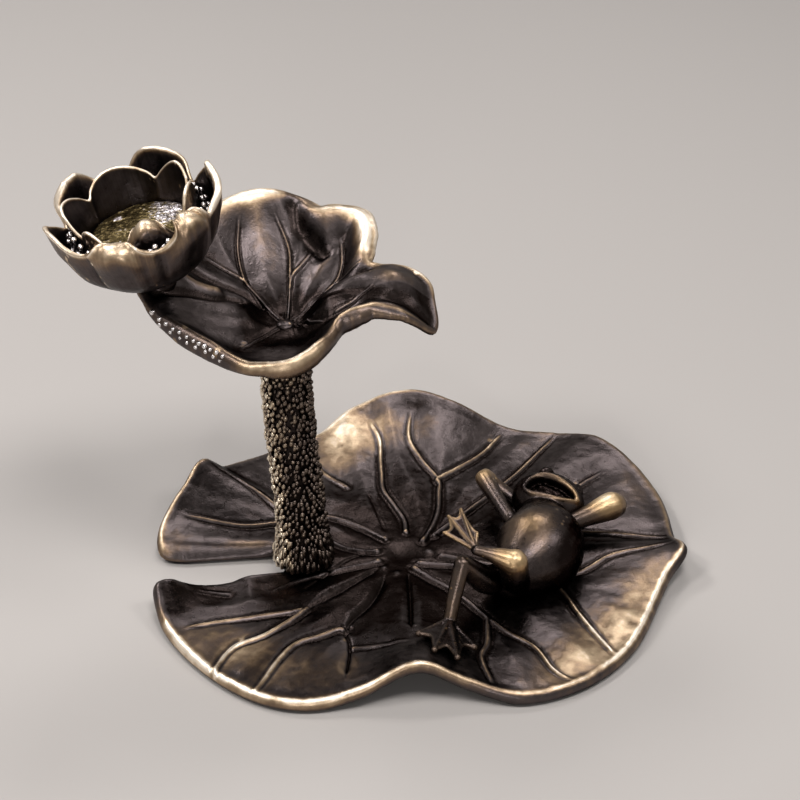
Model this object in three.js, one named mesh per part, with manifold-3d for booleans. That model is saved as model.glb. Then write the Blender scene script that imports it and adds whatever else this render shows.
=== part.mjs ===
// Backflow incense burner in dark patinated brass. A lotus leaf tray lies on the table with a frog on its
// back on it. A knobbly stalk rises beside the tray's cleft and carries a smaller cupped leaf, and a lotus
// flower on that leaf's left lobe holds the cone. Smoke sinks through the flower's plate, leaves by a port
// low in the flower, runs down the cupped leaf and falls from its tongue to the tray.
// Millimetres, +Z up. +X is the frog's side and -Y faces the viewer. The origin is on the table, under the
// point where the tray's veins meet.
import * as THREE from "three";
import { mergeVertices } from "three/addons/utils/BufferGeometryUtils.js";
import Module from "manifold-3d";

const wasm = await Module();
wasm.setup();

// Clearance between pieces that seat on each other at an angle, and round a screw in its hole.
const seatGap = 0.3;
const screwGap = 0.15;

// How far a cutting body runs past the face that it opens.
const cutMargin = 1;

// Tray leaf. Each station round the rim has a direction in degrees, how far the rim reaches past the
// radius, and how far it lifts off the table.
const trayRadius = 52;
const trayThickness = 2.6;
const trayCurl = 2.6;
const trayFlatRelief = 0.3;
const trayRim = [
  [2, 4.5, 1.6],
  [18, 5.5, 1.6],
  [40, 5, 3.4],
  [50, 1, 2],
  [61, -3, 2],
  [75, -2.5, 5.4],
  [88, -0.5, 6.6],
  [104, -4, 4.5],
  [114, -7.5, 1.6],
  [132, -8, 1.6],
  [147, -6.5, 3.6],
  [154, -5, 8.4],
  [161, -4, 5.6],
  [171, -2.5, 3],
  [180, -1.5, 1.2],
  [187, -2, 0.4],
  [196, -1, 1.6],
  [201, 0.4, 2.4],
  [209, 1.5, 0.6],
  [222, 2.3, 0],
  [240, 3.4, 0],
  [249, 2.3, 0],
  [259, -1.5, 1.4],
  [274, -5.2, 6.4],
  [286, -2.5, 2.6],
  [296, 2.2, 0],
  [308, 4.4, 0],
  [322, 4.3, 0.2],
  [338, 2.8, 0.8],
  [348, 3.6, 2],
  [355, 6.5, 3.8],
];

// The cleft that runs from the tray's rim to the stalk. Its end is placed from the stalk's foot.
const cleftFromStalk = [-4.3, 0.3];
const cleftEndWidth = 8;
const cleftMouth = [-56, -11.4];
const cleftMouthWidth = 14;
const cleftCorner = 2;

// Veins stand on the tray. Each lists the direction in degrees and the distance from the hub along it.
const veinWidth = 1.5;
const veinHeight = 0.7;
const veinRoot = 0.5;
const veinTaper = 0.45;
const trayVeins = [
  [[90, 4], [95, 19], [97, 31], [99, 43]],
  [[52, 7], [65, 17], [71, 25], [83, 32], [87, 44]],
  [[71, 25], [64, 33], [61, 44]],
  [[43, 5], [46, 34], [49, 50]],
  [[12, 5], [8, 40], [2, 53]],
  [[346, 5], [346, 35], [356, 53]],
  [[334, 35], [325, 44], [319, 54]],
  [[296, 5], [305, 22], [308, 40], [308, 53]],
  [[304, 26], [294, 39], [291, 48]],
  [[277, 5], [273, 28], [266, 40]],
  [[256, 5], [250, 28], [257, 46]],
  [[249, 30], [240, 37], [240, 52]],
  [[242, 6], [229, 31], [228, 51]],
  [[229, 30], [218, 38], [212, 50]],
  [[148, 5], [154, 20], [167, 30], [171, 44]],
];

// Stalk. Each station is a share of its height, its lean sideways and away from the viewer, and its radius.
const stalkFoot = [-19.5, -5.3];
const stalkHeight = 51;
const stalkStations = [
  [0, 0, 0, 6.1],
  [0.03, 0, 0, 6.1],
  [0.077, 0, 0.1, 5.6],
  [0.154, -0.2, 0.2, 5.1],
  [0.346, -0.9, 0.7, 4.9],
  [0.577, -2.1, 1.4, 4.9],
  [0.808, -2.6, 2, 4.9],
  [1, -2.5, 2.3, 5],
];
const stalkSides = 20;
const seatBossRise = 0.9;
const seatBossInset = 0.4;

// Cupped upper leaf. Each station has a direction in degrees, the rim's distance from the hub, and the
// height above the hub of the leaf at six tenths of that distance and at the rim.
const cupThickness = 2.1;
const cupRimThinning = 0.15;
const cupFlatHub = 0.09;
const cupMidShare = 0.6;
const cupRim = [
  [0, 29, 8, 5.6],
  [8, 28.3, 8.5, 7.6],
  [16, 25, 8, 9.2],
  [25, 18.4, 5, 9.6],
  [33, 19.8, 5, 11],
  [45, 23.8, 5.5, 13],
  [56, 26.8, 5.5, 14.5],
  [66, 25.8, 5.2, 14.4],
  [76, 24.6, 5, 13.6],
  [84, 27, 5.8, 14],
  [92, 26.6, 5, 15.6],
  [102, 26.3, 4.8, 16],
  [119, 25.3, 4.5, 15],
  [136, 25, 4.5, 13],
  [150, 25.5, 4.5, 11.4],
  [165, 27, 5, 10.4],
  [180, 28.8, 5.4, 10],
  [194, 25.6, 4, 8],
  [206, 22.6, 2.2, 6.2],
  [223, 20.2, 1, 4.6],
  [240, 19.8, 0.5, 3.6],
  [258, 20.6, 0.3, 3],
  [275, 21, 0.4, 3.1],
  [296, 17.4, 0.8, 5],
  [318, 14.4, 2.4, 7],
  [335, 18.6, 4.8, 7.8],
  [343, 25, 6.8, 5.6],
  [351, 29.6, 7.6, 2.4],
];

// Lotus flower, in its own leaning frame. Its foot is placed from the upper leaf's hub and is sunk in the
// leaf, which has a boss under it.
const flowerFromHub = [-23.7, 1.2];
const flowerSink = 0.73;
const flowerSwell = 1.2;
const flowerSwellReach = 9;
const flowerLeanLeft = 12.3;
const flowerLeanFront = 3.3;
const petalWall = 1.3;
const neckRadius = 3.8;
const flowerProfile = [
  [neckRadius, 2.4],
  [9, 5],
  [13, 8.6],
  [15.2, 13],
  [16.5, 16.6],
  [16, 21.8],
];
const petalRound = 0.5;
const outerTipInset = 1.1;

// Petals, anticlockwise: direction of the tip, its height above the foot, and the height of the notch
// that follows it.
const outerPetals = [
  [16, 20.5, 14.4],
  [78, 21.8, 14.4],
  [143, 21, 14.2],
  [199, 18.8, 14.2],
  [258, 18.7, 12.8],
  [319, 20, 14],
];
const innerPetals = [
  [48, 21, 17.6],
  [108, 20.6, 17.6],
  [168, 20, 17],
  [228, 18.8, 15.8],
  [288, 19.2, 16.2],
  [348, 20, 17.8],
];
const chamberFloor = 5.2;
const portRadius = 1.8;
const portReach = 8.6;
const portLength = 7;
const portLean = 45;

const plateRadius = 10;
const plateThickness = 1.2;
const plateTop = 13.6;
const smokeHoleRadius = 1.8;
const plateGap = 0.25;
const ledgeWidth = 1.1;
const innerWall = 1;
const innerFlare = 0.95;
const innerFlareBend = 1.4;
const innerRimThinning = 0.3;

const stamenCount = 24;
const stamenBeadRise = 1;
const stamenGap = 1.35;
const stamenBandWidth = 1.4;
const stamenRise = 2.4;

// Screws, all with the same thread: the stalk's and the frog's are countersunk under the tray. A bite is
// how far a screw reaches into the piece that it holds.
const screwRadius = 1.5;
const screwEndRoom = 0.5;
const sunkHeadRadius = 2.8;
const sunkHeadDepth = 1.5;
const sunkHeadRecess = 0.2;
const slotWidth = 0.7;
const slotDepth = 0.4;
const stalkScrewBite = 7.4;
const frogScrewBite = 4.2;
const capScrewBite = 8;
const capHeadRadius = 1.7;
const capHeadHeight = 1;
const flowerScrewBite = 3.6;
const panHeadRadius = 2.6;
const panHeadHeight = 1.6;
const bossRadius = 4;
const bossDepth = 4.6;

// Frog, in its own frame on the tray: +Y runs from its seat to its head, +X to the viewer's right. It lies
// on its back. A station is a point and the radius there.
const frogPlace = [26.5, -11.2];
const frogTurn = -17.5;
const torsoStations = [
  [-1.8, -6.6, 3.25, 4],
  [-1, -3.2, 4.05, 6.6],
  [-0.2, 1.5, 4.45, 8.6],
  [-0.8, 6, 4.65, 8],
  [-1.5, 9.6, 4.65, 6],
];
const headPlace = [-1.8, 19, 5.65];
const headRadii = [7.8, 6.2, 5.8];
const headTurn = -12.5;
const headTilt = 24;

// The mouth's radii, and the places of the mouth and eyes, are shares of the head's radii.
const mouthShares = [0.8, 0.32, 0.55];
const mouthPlaceShares = [0, -0.1, 0.83];
const eyeRadius = 1.9;
const eyePlaceShares = [0.51, 0.81, 0.17];

// The hands lie under the head, so each elbow stands out to the side.
const armRadius = 1.6;
const farArm = {
  shoulder: [-7.6, 10.6, 5.65],
  elbow: [-16.6, 22.2, 6.85],
  hand: [-6, 20, 1.85],
  elbowRadius: 1.9,
};
const nearArm = {
  shoulder: [3.4, 12, 5.65],
  elbow: [11.7, 21, 6.25],
  hand: [2.4, 19, 1.85],
  elbowRadius: 2.5,
};

// One leg stands on the tray and the other is crossed over it.
const standingKnee = [-10.2, -15.2, 11.65];
const standingAnkle = [-11, -21.2, 1.85];
const standingThigh = [[-4, -5, 2.85, 3.2], [-6.8, -10.8, 5.65, 3], [...standingKnee, 1.8]];
const standingShin = [[...standingKnee, 1.7], [-10.6, -18.2, 6.25, 1.5], [...standingAnkle, 1.4]];
const standingToes = [[-15.9, -26.8, 1.05], [-9.3, -29.3, 0.95], [-4.8, -27, 0.95]];
const standingToeRadius = 0.8;
const crossedKnee = [-0.6, -12.6, 12.25];
const crossedAnkle = [-7.7, -14.7, 15.05];
const crossedThigh = [[-1.6, -7.2, 3.85, 3], [-1.2, -10.2, 7.85, 2.7], [...crossedKnee, 2.5]];
const crossedShin = [[...crossedKnee, 2.4], [-4, -13.6, 13.65, 1.5], [...crossedAnkle, 0.9]];
const crossedToes = [[-15, -12, 15.85], [-15.2, -8.3, 17.25], [-13.4, -5.9, 17.65], [-8.8, -10.4, 16.05]];
const crossedToeRadius = 0.5;

// Of a toe's radius: at its root, at its middle, and half the web's thickness. The web's edge is drawn in
// from the tips by a share of the toes' length.
const toeRoot = 1.25;
const toeMiddle = 0.8;
const webHalf = 0.45;
const webDraw = 0.22;

// How finely the round forms are divided.
const trayShares = [0.2, 0.42, 0.6, 0.76, 0.9, 1];
const trayAround = 60;
const cupAround = 60;
const petalAround = 60;
const innerAround = 48;
const footAround = 36;
const outerShares = [0.15, 0.34, 0.54, 0.72, 0.88, 1];
const limbSides = 10;
const torsoSides = 16;
const toeSides = 6;
const barSides = 20;

const degrees = (angle) => THREE.MathUtils.degToRad(angle);

// Value of a column of the stations in a direction, as a smooth curve that closes on itself.
function roundRim(stations, direction, column) {
  const angle = THREE.MathUtils.euclideanModulo(direction, 360);
  const count = stations.length;
  let next = stations.findIndex((station) => station[0] > angle);
  if (next < 0) {
    next = 0;
  }
  const at = (i) => stations[THREE.MathUtils.euclideanModulo(i, count)];
  const span = THREE.MathUtils.euclideanModulo(at(next)[0] - at(next - 1)[0], 360);
  const t = THREE.MathUtils.euclideanModulo(angle - at(next - 1)[0], 360) / span;
  const [a, b, c, d] = [-2, -1, 0, 1].map((k) => at(next + k)[column]);
  const slopeIn = (c - a) / 2;
  const slopeOut = (d - b) / 2;
  const bend = 3 * (c - b) - 2 * slopeIn - slopeOut;
  const twist = slopeIn + slopeOut - 2 * (c - b);
  return b + (slopeIn + (bend + twist * t) * t) * t;
}

// Smooth curve through a list of points, given back as [radius, height] at a share of its length.
function profileCurve(points) {
  const curve = new THREE.CatmullRomCurve3(
    points.map(([radius, height]) => new THREE.Vector3(radius, 0, height)),
    false,
    "centripetal",
  );
  return (share) => {
    const point = curve.getPoint(THREE.MathUtils.clamp(share, 0, 1));
    return [point.x, point.z];
  };
}

function toSolid(geometry) {
  const bare = geometry.clone();
  bare.deleteAttribute("normal");
  bare.deleteAttribute("uv");
  const merged = mergeVertices(bare, 1e-4);
  return new wasm.Manifold(
    new wasm.Mesh({
      numProp: 3,
      vertProperties: new Float32Array(merged.attributes.position.array),
      triVerts: new Uint32Array(merged.index.array),
    }),
  );
}

function toGeometry(solid) {
  const mesh = solid.getMesh();
  const geometry = new THREE.BufferGeometry();
  geometry.setAttribute("position", new THREE.BufferAttribute(new Float32Array(mesh.vertProperties), 3));
  geometry.setIndex(new THREE.BufferAttribute(new Uint32Array(mesh.triVerts), 1));
  geometry.computeVertexNormals();
  return geometry;
}

function solidOf(points, faces) {
  const geometry = new THREE.BufferGeometry().setFromPoints(points);
  geometry.setIndex(faces.flat());
  return toSolid(geometry);
}

const moved = (solid, matrix) => solid.transform(matrix.elements);
const joined = (solids) => solids.reduce((sum, solid) => sum.add(solid));

// Closed body between two skins over the same round grid. Each skin gives a point for a turn and a share
// from the centre to the rim. With a centre the skins close on the axis, and without one a band joins them.
function skinBody(around, shares, topSkin, bottomSkin, hasCentre = true) {
  const points = [];
  const faces = [];
  const put = (point) => points.push(point) - 1;
  const turns = Array.from({ length: around }, (_, i) => (i / around) * 360);
  const grid = (skin) => shares.map((share) => turns.map((turn) => put(skin(turn, share))));
  const top = grid(topSkin);
  const bottom = grid(bottomSkin);
  const band = (inner, outer, flip) => {
    for (let i = 0; i < around; i++) {
      const j = (i + 1) % around;
      const quad = [inner[i], outer[i], outer[j], inner[j]];
      const [a, b, c, d] = flip ? quad.reverse() : quad;
      faces.push([a, b, c], [a, c, d]);
    }
  };
  for (let k = 1; k < shares.length; k++) {
    band(top[k - 1], top[k], false);
    band(bottom[k - 1], bottom[k], true);
  }
  band(top.at(-1), bottom.at(-1), false);
  if (hasCentre) {
    const topCentre = put(topSkin(0, 0));
    const bottomCentre = put(bottomSkin(0, 0));
    for (let i = 0; i < around; i++) {
      const j = (i + 1) % around;
      faces.push([topCentre, top[0][i], top[0][j]], [bottomCentre, bottom[0][j], bottom[0][i]]);
    }
  } else {
    band(bottom[0], top[0], false);
  }
  return solidOf(points, faces);
}

// Closed body through rings of points, which turn anticlockwise round the way they run.
function tube(rings, start, end) {
  const sides = rings[0].length;
  const last = rings.length - 1;
  const at = (k, i) => k * sides + (i % sides);
  const points = [...rings.flat(), start, end];
  const faces = [];
  for (let i = 0; i < sides; i++) {
    for (let k = 0; k < last; k++) {
      const [a, b, c, d] = [at(k, i), at(k, i + 1), at(k + 1, i + 1), at(k + 1, i)];
      faces.push([a, b, c], [a, c, d]);
    }
    faces.push([points.length - 2, at(0, i + 1), at(0, i)]);
    faces.push([points.length - 1, at(last, i), at(last, i + 1)]);
  }
  return solidOf(points, faces);
}

function ring(centre, radius, side, rise, sides) {
  return Array.from({ length: sides }, (_, i) => {
    const turn = (i / sides) * 2 * Math.PI;
    return centre
      .clone()
      .addScaledVector(side, Math.cos(turn) * radius)
      .addScaledVector(rise, Math.sin(turn) * radius);
  });
}

// Round limb through stations, with domed ends. The side direction is carried from ring to ring, so the
// limb does not twist.
function limb(stations, sides = limbSides) {
  const centres = stations.map(([x, y, z]) => new THREE.Vector3(x, y, z));
  const radii = stations.map((station) => station[3]);
  const last = centres.length - 1;
  const heading = (i) => centres[Math.min(i + 1, last)].clone().sub(centres[Math.max(i - 1, 0)]).normalize();
  const onDome = (end, share) => [
    centres[end].clone().addScaledVector(heading(end), radii[end] * share),
    radii[end] * Math.sqrt(1 - share * share),
    heading(end),
  ];
  const stops = [
    ...[-0.9, -0.55].map((share) => onDome(0, share)),
    ...centres.map((centre, i) => [centre, radii[i], heading(i)]),
    ...[0.55, 0.9].map((share) => onDome(last, share)),
  ];
  const side = new THREE.Vector3(0.6, -0.2, 0.77);
  const rings = stops.map(([centre, radius, direction]) => {
    side.addScaledVector(direction, -side.dot(direction)).normalize();
    return ring(centre, radius, side, new THREE.Vector3().crossVectors(direction, side), sides);
  });
  return tube(rings, onDome(0, -1)[0], onDome(last, 1)[0]);
}

// Upright round bodies between two heights at a place.
function taper([x, y], low, high, lowRadius, highRadius, sides = barSides) {
  const geometry = new THREE.CylinderGeometry(highRadius, lowRadius, high - low, sides);
  return toSolid(geometry.rotateX(Math.PI / 2).translate(x, y, (low + high) / 2));
}

const bar = (place, low, high, radius, sides) => taper(place, low, high, radius, radius, sides);
const axis = [0, 0];

function ellipsoid(radii, centre, across = 20, down = 12) {
  const geometry = new THREE.SphereGeometry(1, across, down).rotateX(Math.PI / 2);
  return toSolid(geometry.scale(...radii).translate(...centre));
}

// Tray leaf surface

const trayRimRadius = (direction) => trayRadius + roundRim(trayRim, direction, 1);
const trayLift = (direction, share) => Math.max(0, roundRim(trayRim, direction, 2)) * share ** trayCurl;
const directionOf = (x, y) => THREE.MathUtils.radToDeg(Math.atan2(y, x));

function trayTopAt(x, y) {
  const direction = directionOf(x, y);
  return trayThickness + trayLift(direction, Math.min(1, Math.hypot(x, y) / trayRimRadius(direction)));
}

function polar(direction, radius, height) {
  const turn = degrees(direction);
  return new THREE.Vector3(radius * Math.cos(turn), radius * Math.sin(turn), height);
}

const onTray = (direction, share, height) => polar(direction, trayRimRadius(direction) * share, height);
const trayTopSkin = (direction, share, rise = 0) =>
  onTray(direction, share, trayThickness + trayLift(direction, share) + rise);
const trayBottomSkin = (direction, share) =>
  onTray(direction, share, Math.max(0, trayLift(direction, share) - trayFlatRelief));

// What lies under the tray's top skin, raised by the seat gap: it trims whatever rests on the tray.
const belowTray = skinBody(
  trayAround,
  trayShares,
  (direction, share) => trayTopSkin(direction, share, seatGap),
  (direction, share) => onTray(direction, share, -trayRadius),
);

function cleftCut() {
  const end = new THREE.Vector2(...stalkFoot).add(new THREE.Vector2(...cleftFromStalk));
  const along = new THREE.Vector2(...cleftMouth).sub(end);
  const length = along.length();
  const endHalf = cleftEndWidth / 2;
  const mouthHalf = cleftMouthWidth / 2;
  const outline = new THREE.Shape();
  outline.moveTo(0, -endHalf + cleftCorner);
  outline.quadraticCurveTo(0, -endHalf, cleftCorner, -endHalf);
  outline.lineTo(length, -mouthHalf);
  outline.lineTo(length, mouthHalf);
  outline.lineTo(cleftCorner, endHalf);
  outline.quadraticCurveTo(0, endHalf, 0, endHalf - cleftCorner);
  const depth = 2 * trayRadius;
  const geometry = new THREE.ExtrudeGeometry(outline, { depth, bevelEnabled: false, curveSegments: 4 });
  geometry.rotateZ(along.angle()).translate(end.x, end.y, -depth / 2);
  return toSolid(geometry);
}

// Three-sided ridge that follows the tray's top skin through the vein's points.
function trayVein(points) {
  const route = new THREE.CatmullRomCurve3(points.map(([direction, radius]) => polar(direction, radius, 0)));
  const steps = points.length;
  const corners = Array.from({ length: steps + 1 }, (_, k) => {
    const centre = route.getPointAt(k / steps);
    const heading = route.getTangentAt(k / steps);
    const size = 1 - (veinTaper * k) / steps;
    const side = new THREE.Vector3(-heading.y, heading.x, 0).multiplyScalar((veinWidth * size) / 2);
    const onTop = (point, rise) => point.setZ(trayTopAt(point.x, point.y) + rise);
    return [
      onTop(centre.clone().add(side), -veinRoot),
      onTop(centre.clone(), veinHeight * size),
      onTop(centre.clone().sub(side), -veinRoot),
    ];
  });
  const middle = (ends) => ends[0].clone().add(ends[1]).add(ends[2]).divideScalar(3);
  return tube(corners, middle(corners[0]), middle(corners.at(-1)));
}

const veins = joined(trayVeins.map(trayVein));
const belowVeins = veins.translate(0, 0, seatGap);
const traySeat = trayTopAt(...stalkFoot) + seatBossRise;
const frogSeat = trayTopAt(...frogPlace);

const screwHole = screwRadius + screwGap;
const sunkHeadTop = sunkHeadRecess + sunkHeadDepth;

function countersunkHole(place, top) {
  return joined([
    bar(place, -cutMargin, sunkHeadRecess, sunkHeadRadius + screwGap),
    taper(place, sunkHeadRecess, sunkHeadTop, sunkHeadRadius + screwGap, screwHole),
    bar(place, 0, top + cutMargin, screwHole),
  ]);
}

function countersunkScrew(place, reach) {
  const head = taper(place, sunkHeadRecess, sunkHeadTop, sunkHeadRadius, screwRadius);
  const shank = bar(place, sunkHeadRecess, reach, screwRadius);
  const slot = new THREE.BoxGeometry(2 * sunkHeadRadius + cutMargin, slotWidth, 2 * slotDepth);
  return head.add(shank).subtract(toSolid(slot.translate(...place, sunkHeadRecess)));
}

function trayLeaf() {
  const boss = bar(stalkFoot, trayThickness / 2, traySeat, stalkStations[0][3] - seatBossInset);
  return joined([skinBody(trayAround, trayShares, trayTopSkin, trayBottomSkin), veins, boss])
    .subtract(cleftCut())
    .subtract(countersunkHole(stalkFoot, traySeat))
    .subtract(countersunkHole(frogPlace, frogSeat));
}

// Stalk

const stalkTop = stalkStations.at(-1);
const hubPlace = [stalkFoot[0] + stalkTop[1], stalkFoot[1] + stalkTop[2]];
const cupSeat = traySeat + stalkHeight;
const cupHub = [...hubPlace, cupSeat + cupThickness];

function stalk() {
  const sideways = new THREE.Vector3(1, 0, 0);
  const back = new THREE.Vector3(0, 1, 0);
  const centre = ([share, leanSideways, leanBack]) =>
    new THREE.Vector3(stalkFoot[0] + leanSideways, stalkFoot[1] + leanBack, traySeat + share * stalkHeight);
  const rings = stalkStations.map((station) => ring(centre(station), station[3], sideways, back, stalkSides));
  const lowHole = bar(stalkFoot, traySeat - cutMargin, traySeat + stalkScrewBite + screwEndRoom, screwHole);
  const highHole = bar(hubPlace, cupSeat - capScrewBite - screwEndRoom, cupHub[2], screwHole);
  return tube(rings, centre(stalkStations[0]), centre(stalkTop)).subtract(lowHole).subtract(highHole);
}

// Cupped upper leaf

function cupHeight(direction, share) {
  const mid = roundRim(cupRim, direction, 2);
  const rim = roundRim(cupRim, direction, 3);
  const bend = (cupMidShare * rim - mid) / (cupMidShare - cupMidShare ** 2);
  const slope = rim - bend;
  const start = THREE.MathUtils.smoothstep(share, cupFlatHub, 3 * cupFlatHub);
  return (slope * share + bend * share * share) * start;
}

const cupShares = [cupFlatHub, 0.24, 0.42, 0.6, 0.76, 0.9, 1];

const flowerDirection = directionOf(...flowerFromHub);
const flowerShare = Math.hypot(...flowerFromHub) / roundRim(cupRim, flowerDirection, 1);
const flowerFoot = [
  cupHub[0] + flowerFromHub[0],
  cupHub[1] + flowerFromHub[1],
  cupHub[2] + cupHeight(flowerDirection, flowerShare) - flowerSink,
];

// The leaf swells up to the flower's foot.
function onCup(direction, share, drop) {
  const point = polar(direction, roundRim(cupRim, direction, 1) * share, 0).add(new THREE.Vector3(...cupHub));
  const apart = Math.hypot(point.x - flowerFoot[0], point.y - flowerFoot[1]);
  const swell = flowerSwell * Math.max(0, 1 - apart / flowerSwellReach);
  return point.setZ(point.z + cupHeight(direction, share) + swell - drop);
}

// The under skin keeps its distance square to the leaf, so a steep wall is as thick as the floor.
function underCup(direction, share) {
  const step = 0.01;
  const nudge = Math.min(share, 1 - step);
  const near = onCup(direction, nudge, 0);
  const along = onCup(direction, nudge + step, 0).sub(near);
  const across = onCup(direction + 1, nudge, 0).sub(near);
  const normal = along.cross(across).normalize();
  const thin = cupThickness * (1 - cupRimThinning * share);
  return onCup(direction, share, 0).addScaledVector(normal, -thin);
}

const flowerFrame = new THREE.Matrix4()
  .makeTranslation(...flowerFoot)
  .multiply(new THREE.Matrix4().makeRotationY(degrees(-flowerLeanLeft)))
  .multiply(new THREE.Matrix4().makeRotationX(degrees(flowerLeanFront)));

function cupLeaf() {
  const topSkin = (direction, share) => onCup(direction, share, 0);
  const bottomSkin = (direction, share) =>
    share > cupFlatHub ? underCup(direction, share) : onCup(direction, share, cupThickness);
  const seat = bar(hubPlace, cupSeat, cupSeat + cupThickness / 2, stalkTop[3]);
  const stalkRoom = bar(hubPlace, cupSeat - cupThickness, cupSeat, stalkTop[3] + seatGap);
  const boss = bar(axis, -bossDepth, -seatGap, bossRadius);
  const bossHole = bar(axis, -bossDepth - cutMargin, 0, screwHole);
  return skinBody(cupAround, cupShares, topSkin, bottomSkin)
    .add(seat)
    .subtract(stalkRoom)
    .add(moved(boss, flowerFrame))
    .subtract(moved(aboveFlowerFoot(), flowerFrame))
    .subtract(bar(hubPlace, cupSeat - cutMargin, cupHub[2] + cutMargin, screwHole))
    .subtract(moved(bossHole, flowerFrame));
}

// Lotus flower

const outerProfile = profileCurve(flowerProfile);

// How tall a ring of petals stands in a direction, and how near that is to a tip: one at the tip, zero in a
// notch.
function petalRim(petals, direction) {
  const apart = (a, b) => THREE.MathUtils.euclideanModulo(a - b, 360);
  const i = petals.findIndex((petal, k) => {
    const next = petals[(k + 1) % petals.length];
    return apart(direction, petal[0]) < apart(next[0], petal[0]);
  });
  const here = petals[i];
  const next = petals[(i + 1) % petals.length];
  const across = apart(direction, here[0]) / apart(next[0], here[0]);
  const nearness = Math.abs(Math.cos(Math.PI * across)) ** petalRound;
  const tip = across < 0.5 ? here[1] : next[1];
  return [here[2] + (tip - here[2]) * nearness, nearness];
}

// First share along the flower's profile where it has come as far out, or as high, as is asked.
function shareWhere(column, value) {
  let share = 0;
  while (share < 1 && outerProfile(share)[column] < value) {
    share += 0.005;
  }
  return share;
}

const bowlHeightAt = (radius) => outerProfile(shareWhere(0, radius))[1];

const flowerTop = flowerProfile.at(-1)[1];

function outerSkin(direction, share, inset) {
  const [rimHeight, nearness] = petalRim(outerPetals, direction);
  const reach = share * shareWhere(1, rimHeight);
  const [radius, height] = outerProfile(reach);
  const [nearRadius, nearHeight] = outerProfile(reach - 0.02);
  const slope = new THREE.Vector2(radius - nearRadius, height - nearHeight).normalize();
  const cupping = outerTipInset * reach * (1 - nearness);
  return polar(direction, radius - cupping - slope.y * inset, height + slope.x * inset);
}

// The chamber's port leaves through the wall towards the leaf's hub, and leans down.
function flowerPort() {
  const port = new THREE.CylinderGeometry(portRadius, portRadius, portLength, 16);
  port.rotateZ(Math.PI / 2).rotateY(degrees(portLean));
  return toSolid(port.translate(portReach, 0, bowlHeightAt(portReach) + petalWall / 2));
}

function flowerCup() {
  const chamberBase = new THREE.Vector3(0, 0, chamberFloor);
  const bowlBase = new THREE.Vector3(0, 0, flowerProfile[0][1]);
  const bowl = skinBody(
    petalAround,
    outerShares,
    (direction, share) => (share ? outerSkin(direction, share, petalWall) : chamberBase),
    (direction, share) => (share ? outerSkin(direction, share, 0) : bowlBase),
  );
  return bowl
    .add(bar(axis, 0, chamberFloor, neckRadius))
    .subtract(flowerPort())
    .subtract(bar(axis, -cutMargin, flowerScrewBite + screwEndRoom, screwHole));
}

// The room that the flower takes over its foot, with the seat gap round it.
function aboveFlowerFoot() {
  const bowl = skinBody(
    footAround,
    outerShares,
    (direction, share) => outerSkin(direction, share, 0).setZ(flowerTop + cutMargin),
    (direction, share) => (share ? outerSkin(direction, share, -seatGap) : new THREE.Vector3(0, 0, 0)),
  );
  return bowl.add(bar(axis, 0, chamberFloor, neckRadius + seatGap));
}

const innerBore = plateRadius + plateGap;
const innerFoot = bowlHeightAt(innerBore + innerWall + petalWall) + petalWall + seatGap;

// The wall stands on the bowl. Below the plate it is thicker, and the step is the ledge that holds the plate.
function innerCup() {
  const ledgeTop = plateTop - plateThickness - seatGap;
  const wallAt = (direction, share, inside) => {
    const rim = petalRim(innerPetals, direction)[0];
    const isFoot = share < 1;
    const height = isFoot
      ? THREE.MathUtils.lerp(innerFoot, ledgeTop, share)
      : THREE.MathUtils.lerp(ledgeTop, rim, share - 1);
    const flare = Math.max(0, (height - plateTop) / (flowerTop - plateTop));
    const bore = innerBore + innerFlare * flare ** innerFlareBend;
    const step = isFoot ? ledgeWidth : 0;
    return polar(direction, inside ? bore - step : bore + innerWall * (1 - innerRimThinning * flare), height);
  };
  return skinBody(
    innerAround,
    [0, 0.99, 1.01, 1.5, 1.8, 2],
    (direction, share) => wallAt(direction, share, true),
    (direction, share) => wallAt(direction, share, false),
    false,
  );
}

function conePlate() {
  const low = plateTop - plateThickness;
  return bar(axis, low, plateTop, plateRadius, innerAround).subtract(
    bar(axis, low - cutMargin, plateTop + cutMargin, smokeHoleRadius),
  );
}

// Band between the two rings of petals, with a row of beads along its top.
function stamens() {
  const inner = innerBore + innerWall + stamenGap;
  const outer = inner + stamenBandWidth;
  const low = bowlHeightAt(outer + petalWall) + petalWall + seatGap;
  const top = plateTop + stamenRise;
  const radiusAt = (share) => inner + stamenBandWidth * share;
  const isBead = (direction) => Math.round((direction / 360) * 2 * stamenCount) % 2 === 0;
  return skinBody(
    2 * stamenCount,
    [0, 0.5, 1],
    (direction, share) => polar(direction, radiusAt(share), isBead(direction) ? top : top - stamenBeadRise),
    (direction, share) => polar(direction, radiusAt(share), low),
    false,
  );
}

// Frog

const frogFrame = new THREE.Matrix4()
  .makeTranslation(...frogPlace, frogSeat)
  .multiply(new THREE.Matrix4().makeRotationZ(degrees(frogTurn)));

const onFrog = (solid) => moved(solid, frogFrame).subtract(belowTray).subtract(belowVeins);
const headFrame = new THREE.Matrix4()
  .makeTranslation(...headPlace)
  .multiply(new THREE.Matrix4().makeRotationZ(degrees(headTurn)))
  .multiply(new THREE.Matrix4().makeRotationX(degrees(headTilt)));
const inHead = (shares) => shares.map((share, i) => share * headRadii[i]);

// Limbs and the body are grown by a gap where they trim what meets them.
const grown = (stations, gap) => stations.map(([x, y, z, radius]) => [x, y, z, radius + gap]);

function torsoAndHead(gap = 0) {
  const head = ellipsoid(headRadii.map((radius) => radius + gap), [0, 0, 0], 16, 10);
  return limb(grown(torsoStations, gap), torsoSides).add(moved(head, headFrame));
}

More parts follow.
